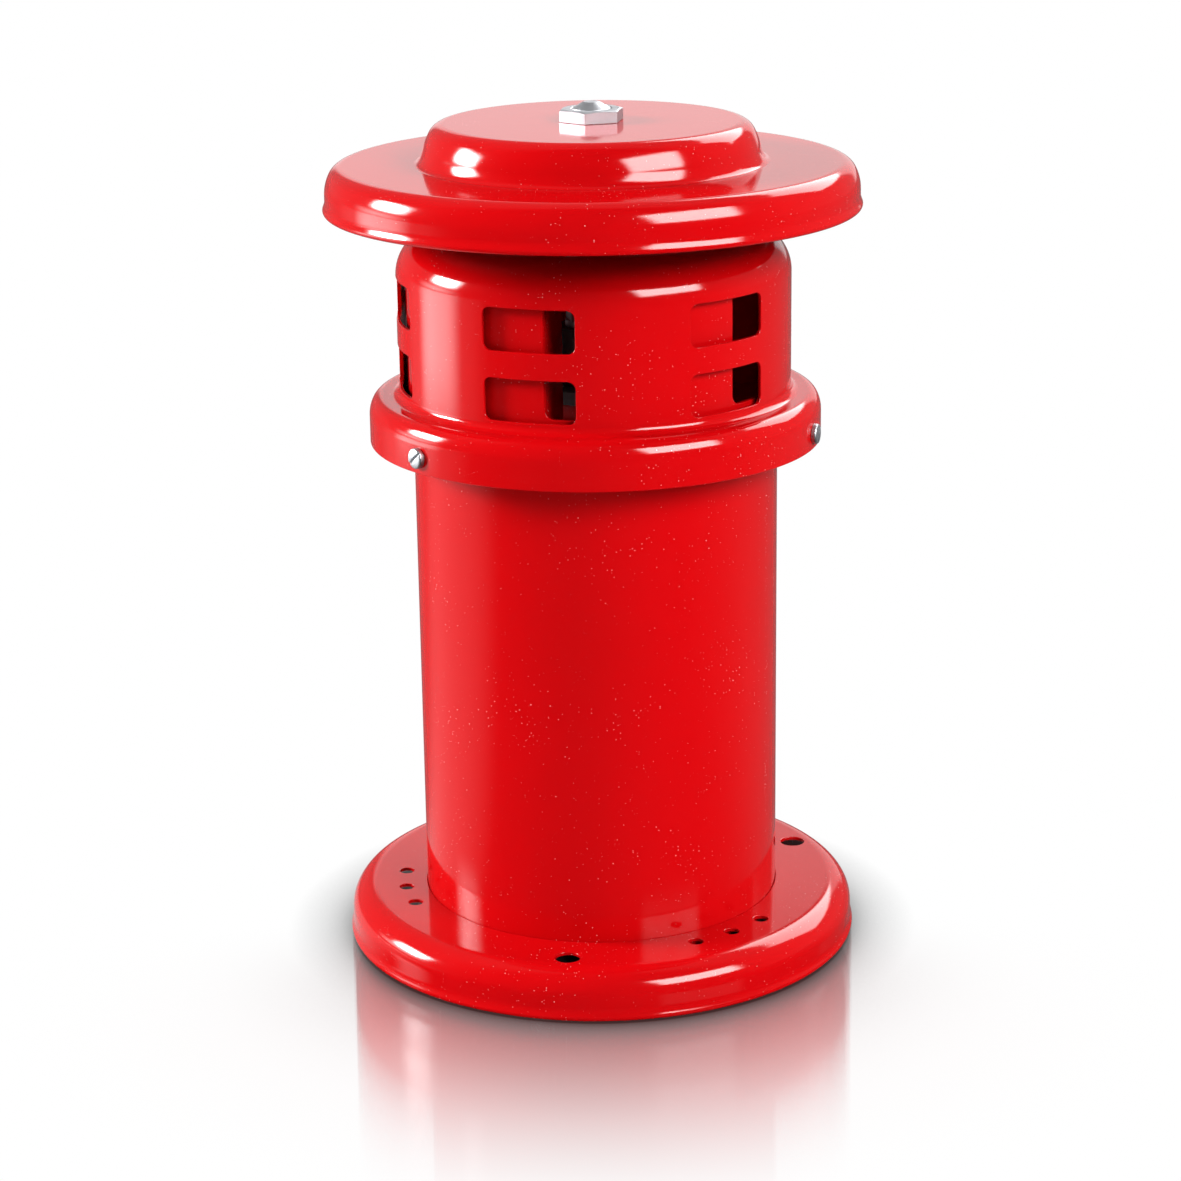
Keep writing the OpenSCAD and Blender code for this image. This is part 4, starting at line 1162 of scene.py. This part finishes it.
@dataclass
class CollarScrews:
    """Slotted pan-head screws that hold the housing to its bracket."""

    head_r: float = 3.15
    head_h: float = 2.0
    shank_r: float = 1.95
    length: float = 9.0
    slot_w: float = 0.9
    slot_depth: float = 0.9
    ring_r: float = 70.62
    z: float = 168.7
    bearings: tuple[float, float, float] = (-30.0, 90.0, 210.0)
    slot_turns: tuple[float, float, float] = (40.0, 85.0, 20.0)
    tip_edge: float = 0.4
    neck_edge: float = 0.05
    seat_edge: float = 0.15
    dome_edge: float = 0.7
    dome_share: float = 0.8
    bevel: float = 0.08
    arc_step: float = 12.0
    steps: int = 48
    sharp: float = 35.0

    def build(self, paint: Paintbox) -> None:
        """Builds the screws and finishes them."""
        screw = self._screw()
        joined = bmesh.new()
        for bearing, slot_turn in zip(self.bearings, self.slot_turns):
            copy = screw.copy()
            angle = math.radians(bearing)
            spot = Vector((self.ring_r * math.sin(angle), -self.ring_r * math.cos(angle), self.z)) * MM
            place = (
                Matrix.Translation(spot)
                @ Matrix.Rotation(angle, 4, "Z")
                @ Matrix.Rotation(math.radians(90), 4, "X")
                @ Matrix.Rotation(math.radians(slot_turn), 4, "Z")
            )
            copy.transform(place)
            joined.from_mesh(copy)
            bpy.data.meshes.remove(copy)
        mesh = bpy.data.meshes.new("slotted_screws")
        joined.to_mesh(mesh)
        joined.free()
        bpy.data.meshes.remove(screw)
        mesh.shade_smooth()
        mesh.set_sharp_from_angle(angle=math.radians(self.sharp))
        paint.dress(link("slotted_screws", mesh), Slot.ZINC, Body.SIREN, "collar_screws")

    def _screw(self) -> bpy.types.Mesh:
        """One screw along +Z, its head standing on z = 0, with a cut slot and softened edges."""
        skin = Skin()
        outline = Outline([
            Corner(0.0, -self.length, 0.0),
            Corner(self.shank_r, -self.length, self.tip_edge),
            Corner(self.shank_r, 0.0, self.neck_edge),
            Corner(self.head_r, 0.0, self.seat_edge),
            Corner(self.head_r, self.head_h * self.dome_share, self.dome_edge),
            Corner(0.0, self.head_h, 0.0),
        ], self.arc_step)
        turn(skin, outline, even_bearings(self.steps))
        blank = skin.to_object("screw_blank")
        bpy.ops.mesh.primitive_cube_add(size=1)
        cutter = bpy.context.object
        cutter.scale = (4 * self.head_r * MM, self.slot_w * MM, 2 * self.slot_depth * MM)
        cutter.location = (0, 0, self.head_h * MM)
        cut = blank.modifiers.new("slot", "BOOLEAN")
        cut.operation, cut.solver, cut.object = "DIFFERENCE", "EXACT", cutter
        soft = blank.modifiers.new("edges", "BEVEL")
        soft.width, soft.segments, soft.limit_method = self.bevel * MM, 2, "ANGLE"
        bpy.context.view_layer.update()
        shaped = blank.evaluated_get(bpy.context.evaluated_depsgraph_get())
        mesh = bpy.data.meshes.new_from_object(shaped)
        for scrap in (blank, cutter):
            data = scrap.data
            bpy.data.objects.remove(scrap)
            bpy.data.meshes.remove(data)
        return mesh


@dataclass
class BrushGear:
    """Springs that push the brushes in."""

    start_r: float = 28.57
    end_r: float = 39.83
    travel: float = 5.0
    coil_r: float = 2.3
    wire_r: float = 0.35
    turns: int = 7
    steps: int = 20
    sides: int = 10
    z: float = 42.0

    def build(self, paint: Paintbox) -> None:
        """Builds both springs and finishes them."""
        for side, name in ((-1, "left"), (1, "right")):
            t = np.linspace(0.0, 1.0, self.turns * self.steps + 1)
            angle = 2 * math.pi * self.turns * t
            line = np.stack([
                side * (self.start_r + (self.end_r - self.start_r) * t),
                self.coil_r * np.cos(angle),
                self.z + self.coil_r * np.sin(angle),
            ], axis=-1)
            piece = tube(line, self.wire_r, self.sides).to_object(f"coil_spring_{name}")
            paint.dress(piece, Slot.STEEL, Body.SIREN, f"brush_spring_{name}")
            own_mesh(piece)


@dataclass
class Leads:
    """Insulated wires from the terminals to the field coils, and from these to the brush holders."""

    wire_r: float = 1.2
    x: float = 14.0
    y: float = 35.327
    terminal_z: float = 4.8
    coil_z: float = 60.0
    holder_top: float = 47.8
    link_rise: float = 3.0
    bend: tuple[float, float] = (22.0, -16.0)
    link_x: float = 28.35
    sides: int = 12
    rise_points: int = 6
    link_steps: int = 8

    def build(self, paint: Paintbox) -> None:
        """Builds the wires and finishes them."""
        skin = Skin()
        for side in (-1, 1):
            x = side * self.x
            up = [(x, self.y, z) for z in np.linspace(self.terminal_z, self.coil_z, self.rise_points)]
            over = self.holder_top + self.link_rise
            bends = [
                (x, -self.y, self.coil_z),
                (x, -self.y, over + self.link_rise),
                (side * self.bend[0], self.bend[1], over),
                (side * self.link_x, 0.0, over),
                (side * self.link_x, 0.0, self.holder_top),
            ]
            for line in (np.array(up), smooth_line(bends, self.link_steps)):
                part = tube(line, self.wire_r, self.sides)
                first = len(skin.points)
                skin.points += part.points
                skin.normals += part.normals
                skin.faces += [tuple(i + first for i in face) for face in part.faces]
        paint.dress(skin.to_object("insulated_leads"), Slot.LEAD, Body.SIREN, "lead_wires")


# Studio


@dataclass(frozen=True)
class Viewpoint:
    """Camera of the photograph, from which the studio's bearings count.

    Args:
        bearing: Its bearing from the siren, in degrees.
        distance: Metres from the siren's axis.
        height: Metres above the ground.
        pan: Turn to the right, in radians.
        tilt: Turn downwards, in radians.
        roll: Turn of the picture, in radians.
        focal_px: Focal length, in pixels of the photograph.
        frame_px: Width of the photograph, in pixels.
        sensor: Width of the sensor, in millimetres.
        clip: Nearest and farthest metres that are drawn.
    """

    bearing: float = 18.9
    distance: float = 0.91709
    height: float = 0.39341
    pan: float = -0.0025
    tilt: float = 0.2974
    roll: float = -0.014
    focal_px: float = 3002.5
    frame_px: float = 1181.0
    sensor: float = 36.0
    clip: Pair = (0.01, 50.0)

    def way(self, bearing: float, height: float = 0.0) -> Vector:
        """Direction at a bearing from the camera's own and at a height, both in degrees."""
        angle, rise = math.radians(self.bearing + bearing), math.radians(height)
        return Vector((math.sin(angle) * math.cos(rise), -math.cos(angle) * math.cos(rise), math.sin(rise)))

    def build(self) -> None:
        """Puts the camera where the photograph was taken from."""
        data = bpy.data.cameras.new("photo_view")
        data.sensor_width = self.sensor
        data.lens = self.focal_px / self.frame_px * self.sensor
        data.clip_start, data.clip_end = self.clip
        camera = link("photo_view", data)
        level = math.cos(self.tilt)
        ahead = Vector((math.sin(self.pan) * level, math.cos(self.pan) * level, -math.sin(self.tilt)))
        right = Vector((math.cos(self.pan), -math.sin(self.pan), 0.0))
        up = right.cross(ahead)
        c, s = math.cos(self.roll), math.sin(self.roll)
        right, up = right * c + up * s, up * c - right * s
        pose = Matrix((right, up, -ahead)).transposed().to_4x4()
        pose.translation = Vector((0.0, -self.distance, self.height))
        camera.matrix_world = Matrix.Rotation(math.radians(self.bearing), 4, "Z") @ pose
        bpy.context.scene.camera = camera


@dataclass(frozen=True)
class Backdrop:
    """White background, and what gloss shows of the room: dim walls and a white card behind the siren.

    Args:
        room: Brightness of the light from all round.
        walls: Brightness of the walls next to the camera and across from it.
        wall_ends: Cosines to the far wall between which that changes.
        card: Brightness of the card.
        card_bearing: Bearing of its middle, from the camera.
        card_half: Half its width, in degrees.
        card_top: Height of its upper edge, in degrees.
        side_soft: Degrees that its sides fade over, on either side of the edge.
        top_soft: The same for its upper edge.
        mirror_depth: Depth up to which a mirror shows the background white.
    """

    room: float = 0.06
    walls: Pair = (0.03, 0.2)
    wall_ends: Pair = (-0.7, 0.3)
    card: float = 0.95
    card_bearing: float = 173.0
    card_half: float = 19.0
    card_top: float = 24.0
    side_soft: float = 3.0
    top_soft: float = 2.0
    mirror_depth: float = 2.5

    def build(self, view: Viewpoint) -> None:
        """Makes the world."""
        world = bpy.data.worlds.new("studio")
        bpy.context.scene.world = world
        world.use_nodes = True
        graph = Graph(world.node_tree)
        path = graph.add("ShaderNodeLightPath").outputs
        mirrored = graph.math("MAXIMUM", path["Is Glossy Ray"], path["Is Transmission Ray"])
        soft = graph.mix(mirrored, (self.room, self.room, self.room, 1.0), self._shine(graph, view))
        first = graph.math("LESS_THAN", path["Ray Depth"], self.mirror_depth)
        polished = graph.math("MULTIPLY", path["Is Singular Ray"], first)
        seen = graph.mix(graph.math("MAXIMUM", path["Is Camera Ray"], polished), soft, WHITE)
        light = graph.add("ShaderNodeBackground", Color=seen, Strength=1.0)
        graph.add("ShaderNodeOutputWorld", Surface=light.outputs[0])

    def _shine(self, graph: Graph, view: Viewpoint) -> Socket:
        """Brightness of the room in reflections."""
        way = graph.add("ShaderNodeTexCoord").outputs["Generated"]
        rise = graph.add("ShaderNodeSeparateXYZ", Vector=way).outputs[2]
        half, top = math.radians(self.card_half), math.radians(self.card_top)
        side_fade, top_fade = math.radians(self.side_soft), math.radians(self.top_soft)
        sides = math.cos(half + side_fade), math.cos(half - side_fade)
        upper = math.sin(top + top_fade), math.sin(top - top_fade)
        across = graph.ramp(graph.towards(way, view.way(self.card_bearing)), sides, (0.0, 1.0))
        card = graph.math("MULTIPLY", across, graph.ramp(rise, upper, (0.0, 1.0)))
        walls = graph.ramp(graph.towards(way, view.way(180.0)), self.wall_ends, self.walls)
        return graph.add("ShaderNodeMix", i0=card, i2=walls, i3=self.card).outputs[0]


@dataclass(frozen=True)
class Floor:
    """Pale floor that keeps the siren's shadow and a fading reflection.

    Args:
        half: Half its width, in metres.
        z: Its height, just clear of the base.
        matt: Colour by which it lights the siren.
        slope: Height in degrees of the way that the front shadow and the painted red bounce light look along.
        front: Cosines to the camera's bearing between which the front begins.
        ring_reach: Metres that the shadow round the base reaches.
        ring_power: Depth of that shadow.
        front_reach: Metres that the front shadow reaches.
        front_open: Open shares of the sky between which it fades.
        front_tones: Brightness at both, before its depth.
        front_power: Depth of that shadow.
        painted_bounce_reach: Metres that the painted red bounce light in front of the siren reaches.
        painted_bounce_open: Open shares of the sky between which it fades.
        painted_red_bounce: Colour of the painted red bounce light.
        window_bearing: Bearing of the window's light on the floor, as gloss shows it.
        window_ends: Cosines between which it fades.
        window_far: Metres between which it begins.
        window_glow: Its brightness.
        left_bearing: Bearing of the lit left side, as gloss shows it.
        left_ends: Cosines between which it fades.
        left_glow: Its brightness.
        wall_ends: Cosines to the far side between which the rest brightens.
        wall_glow: Brightness of the rest, near and far.
        lean: Slope of the mirror's grain away from the camera.
        lean_spread: How far that slope varies.
        mirror_far: Metres from the axis between which the reflection fades.
        mirror: Share of the reflection next to the base.
        rim_far: Metres between which the reflection that gloss shows fades.
        rim: Share of that reflection.
    """

    half: float = 6.0
    z: float = -0.0004
    matt: Colour = (0.6, 0.6, 0.6, 1.0)
    slope: float = 20.0
    front: Pair = (0.0, 0.8)
    ring_reach: float = 0.022
    ring_power: float = 1.6
    front_reach: float = 0.095
    front_open: Pair = (0.33, 1.0)
    front_tones: Pair = (0.4, 1.0)
    front_power: float = 2.0
    painted_bounce_reach: float = 0.15
    painted_bounce_open: Pair = (0.4, 1.0)
    painted_red_bounce: Colour = (0.93, 0.4, 0.4, 1.0)
    window_bearing: float = -99.5
    window_ends: Pair = (0.94, 1.0)
    window_far: Pair = (0.62, 0.95)
    window_glow: float = 4.4
    left_bearing: float = -98.0
    left_ends: Pair = (0.78, 1.0)
    left_glow: float = 0.42
    wall_ends: Pair = (-0.7, 0.3)
    wall_glow: Pair = (0.004, 0.15)
    lean: float = 0.13
    lean_spread: float = 0.085
    mirror_far: Pair = (0.09, 0.21)
    mirror: float = 0.66
    rim_far: Pair = (0.1, 0.14)
    rim: float = 0.06

    def build(self, view: Viewpoint) -> None:
        """Lays the floor and gives it its material."""
        mesh = bpy.data.meshes.new("floor")
        h = self.half
        mesh.from_pydata([(-h, -h, 0), (h, -h, 0), (h, h, 0), (-h, h, 0)], [], [(0, 1, 2, 3)])
        floor = link("floor", mesh)
        floor.location.z = self.z
        material = bpy.data.materials.new("pale_floor")
        material.use_nodes = True
        mesh.materials.append(material)
        graph = Graph(material.node_tree)
        place = graph.place()
        far = graph.add("ShaderNodeVectorMath", {"operation": "LENGTH"}, i0=place).outputs["Value"]
        path = graph.add("ShaderNodeLightPath").outputs
        seen, glossy = path["Is Camera Ray"], path["Is Glossy Ray"]
        shade, tone = self._shadow(graph, view, place)
        white = graph.add("ShaderNodeEmission", Color=tone, Strength=shade)
        dim = graph.add("ShaderNodeEmission", Color=WHITE, Strength=self._glow(graph, view, place, far))
        matt = graph.add("ShaderNodeBsdfDiffuse", Color=self.matt)
        bounce = self._blend(graph, glossy, matt, dim)
        lit = self._blend(graph, seen, bounce, white)
        normal = self._grain(graph, view, place, seen)
        mirror = graph.add("ShaderNodeBsdfGlossy", Color=shade, Roughness=0.0, Normal=normal)
        near = graph.math("MULTIPLY", graph.ramp(far, self.mirror_far, (self.mirror, 0.0)), seen)
        rim = graph.math("MULTIPLY", graph.ramp(far, self.rim_far, (self.rim, 0.0)), glossy)
        whole = self._blend(graph, graph.math("ADD", near, rim), lit, mirror)
        graph.add("ShaderNodeOutputMaterial", Surface=whole.outputs[0])

    @staticmethod
    def _blend(graph: Graph, share: object, a: Node, b: Node) -> Node:
        """Mix of two shaders."""
        return graph.add("ShaderNodeMixShader", i0=share, i1=a.outputs[0], i2=b.outputs[0])

    def _shadow(self, graph: Graph, view: Viewpoint, place: Socket) -> tuple[Socket, Socket]:
        """Shadow that the siren leaves on the floor.

        Args:
            graph: Graph of the floor's material.
            view: The photograph's viewpoint.
            place: Place on the floor.

        Returns:
            The shadow's brightness, and the colour of the floor with its painted red bounce light.
        """
        way = view.way(180.0, self.slope)
        kind = "ShaderNodeAmbientOcclusion"
        ring = graph.add(kind, {"samples": 16}, Distance=self.ring_reach).outputs["AO"]
        ahead = graph.add(kind, {"samples": 24}, Distance=self.front_reach, Normal=way).outputs["AO"]
        wide = graph.add(kind, {"samples": 24}, Distance=self.painted_bounce_reach, Normal=way).outputs["AO"]
        contact = graph.math("POWER", graph.ramp(ahead, self.front_open, self.front_tones), self.front_power)
        in_front = graph.ramp(graph.towards(place, view.way(0.0)), self.front, (0.0, 1.0))
        around = graph.math("POWER", ring, self.ring_power)
        shade = graph.add("ShaderNodeMix", i0=in_front, i2=around, i3=contact).outputs[0]
        # Painted red bounce light: the floor in front turns red where the siren hides much of the sky.
        painted_red_bounce = graph.math("MULTIPLY", in_front, graph.ramp(wide, self.painted_bounce_open, (1.0, 0.0)))
        return shade, graph.mix(painted_red_bounce, WHITE, self.painted_red_bounce)

    def _glow(self, graph: Graph, view: Viewpoint, place: Socket, far: Socket) -> Socket:
        """Brightness of the floor in reflections.

        Args:
            graph: Graph of the floor's material.
            view: The photograph's viewpoint.
            place: Place on the floor.
            far: Metres from the axis.

        Returns:
            The brightness.
        """
        window = graph.ramp(graph.towards(place, view.way(self.window_bearing)), self.window_ends, (0.0, 1.0))
        window = graph.math("MULTIPLY", window, graph.ramp(far, self.window_far, (0.0, self.window_glow)))
        left = graph.towards(place, view.way(self.left_bearing))
        left = graph.ramp(left, self.left_ends, (0.0, self.left_glow))
        rest = graph.ramp(graph.towards(place, view.way(180.0)), self.wall_ends, self.wall_glow)
        return graph.math("ADD", graph.math("ADD", window, left), rest)

    def _grain(self, graph: Graph, view: Viewpoint, place: Socket, seen: Socket) -> Socket:
        """Normal of the mirror's grain, which draws the reflection out.

        Args:
            graph: Graph of the floor's material.
            view: The photograph's viewpoint.
            place: Place on the floor.
            seen: Whether the floor is seen directly.

        Returns:
            The normal.
        """
        speck = graph.add("ShaderNodeTexWhiteNoise", Vector=place).outputs["Value"]
        slope = graph.math("ADD", graph.math("MULTIPLY", speck, self.lean_spread), self.lean)
        back = graph.add(
            "ShaderNodeVectorMath", {"operation": "SCALE"},
            i0=view.way(180.0), Scale=graph.math("MULTIPLY", seen, slope),
        ).outputs[0]
        return graph.vector("ADD", back, (0.0, 0.0, 1.0))


@dataclass(frozen=True)
class Lamp:
    """Soft box that faces the siren.

    Args:
        name: Name of the lamp.
        bearing: Bearing from the camera in degrees, growing to the photograph's right.
        height: Degrees above the horizon.
        distance: Metres from the siren.
        width: Width in metres.
        tall: Height in metres.
        radiance: Brightness of its face, where 1 is white.
        soft: Share of the face that fades at each side and at the top.
        low: Share of the face that fades at the bottom.
    """

    name: str
    bearing: float
    height: float
    distance: float
    width: float
    tall: float
    radiance: float
    soft: float
    low: float
    AIM_Z = 0.2
    TWICE_DEPTHS = (2.0, 3.0)
    TWICE_SHARES = (1.0, 0.3)

    def build(self, view: Viewpoint) -> None:
        """Hangs the lamp. Its face fades towards its edges, and it counts for less when mirrored twice."""
        data = bpy.data.lights.new(self.name, "AREA")
        data.shape = "RECTANGLE"
        data.size, data.size_y = self.width, self.tall
        data.energy = self.radiance * math.pi * self.width * self.tall
        data.use_nodes = True
        graph = Graph(data.node_tree)
        face = graph.add("ShaderNodeNewGeometry").outputs["Parametric"]
        spot = graph.add("ShaderNodeSeparateXYZ", Vector=face).outputs
        depth = graph.add("ShaderNodeLightPath").outputs["Ray Depth"]
        glow = graph.ramp(depth, self.TWICE_DEPTHS, self.TWICE_SHARES)
        for axis, low in enumerate((self.soft, self.low)):
            rise = graph.ramp(spot[axis], (0.0, low), (0.0, 1.0))
            fall = graph.ramp(spot[axis], (1.0 - self.soft, 1.0), (1.0, 0.0))
            glow = graph.math("MULTIPLY", glow, graph.math("MULTIPLY", rise, fall))
        light = graph.add("ShaderNodeEmission", Strength=glow)
        graph.add("ShaderNodeOutputLight", Surface=light.outputs[0])
        way = view.way(self.bearing, self.height)
        box = link(self.name, data)
        box.location = way * self.distance + Vector((0, 0, self.AIM_Z))
        box.rotation_euler = way.to_track_quat("Z", "Y").to_euler()


@dataclass(frozen=True)
class Studio:
    """Camera, background, floor and lamps, as the photograph has them."""

    view: Viewpoint = Viewpoint()
    backdrop: Backdrop = Backdrop()
    floor: Floor = Floor()
    lamps: tuple[Lamp, ...] = (
        Lamp("left_box", -97.5, 18.0, 5.0, 2.46, 1.98, 80.0, 0.42, 0.42),
        Lamp("left_low_box", -99.5, 3.5, 2.0, 1.5, 0.42, 5.0, 0.48, 0.4),
        Lamp("right_box", 45.5, 29.0, 3.0, 2.3, 1.44, 14.5, 0.14, 0.14),
        Lamp("back_box", 141.0, 35.0, 3.0, 2.7, 1.65, 5.5, 0.1, 0.1),
    )

    def build(self) -> None:
        """Sets up the whole studio."""
        bpy.context.scene.view_settings.view_transform = "Standard"
        self.view.build()
        for item in (self.backdrop, self.floor, *self.lamps):
            item.build(self.view)


def main() -> None:
    """Builds the siren and its studio."""
    logging.basicConfig(level=logging.INFO, format="%(name)s: %(message)s")
    paint = Paintbox()
    kinds = (
        BaseFlange, MotorTube, ChopperHousing, Rotor, RainCap, CapFixings, CollarScrews, BrushGear, Leads
    )
    for kind in kinds:
        kind().build(paint)
    paint.keep(frame["nodes"], frame["record"])
    Studio().build()


if __name__ == "__main__":
    main()
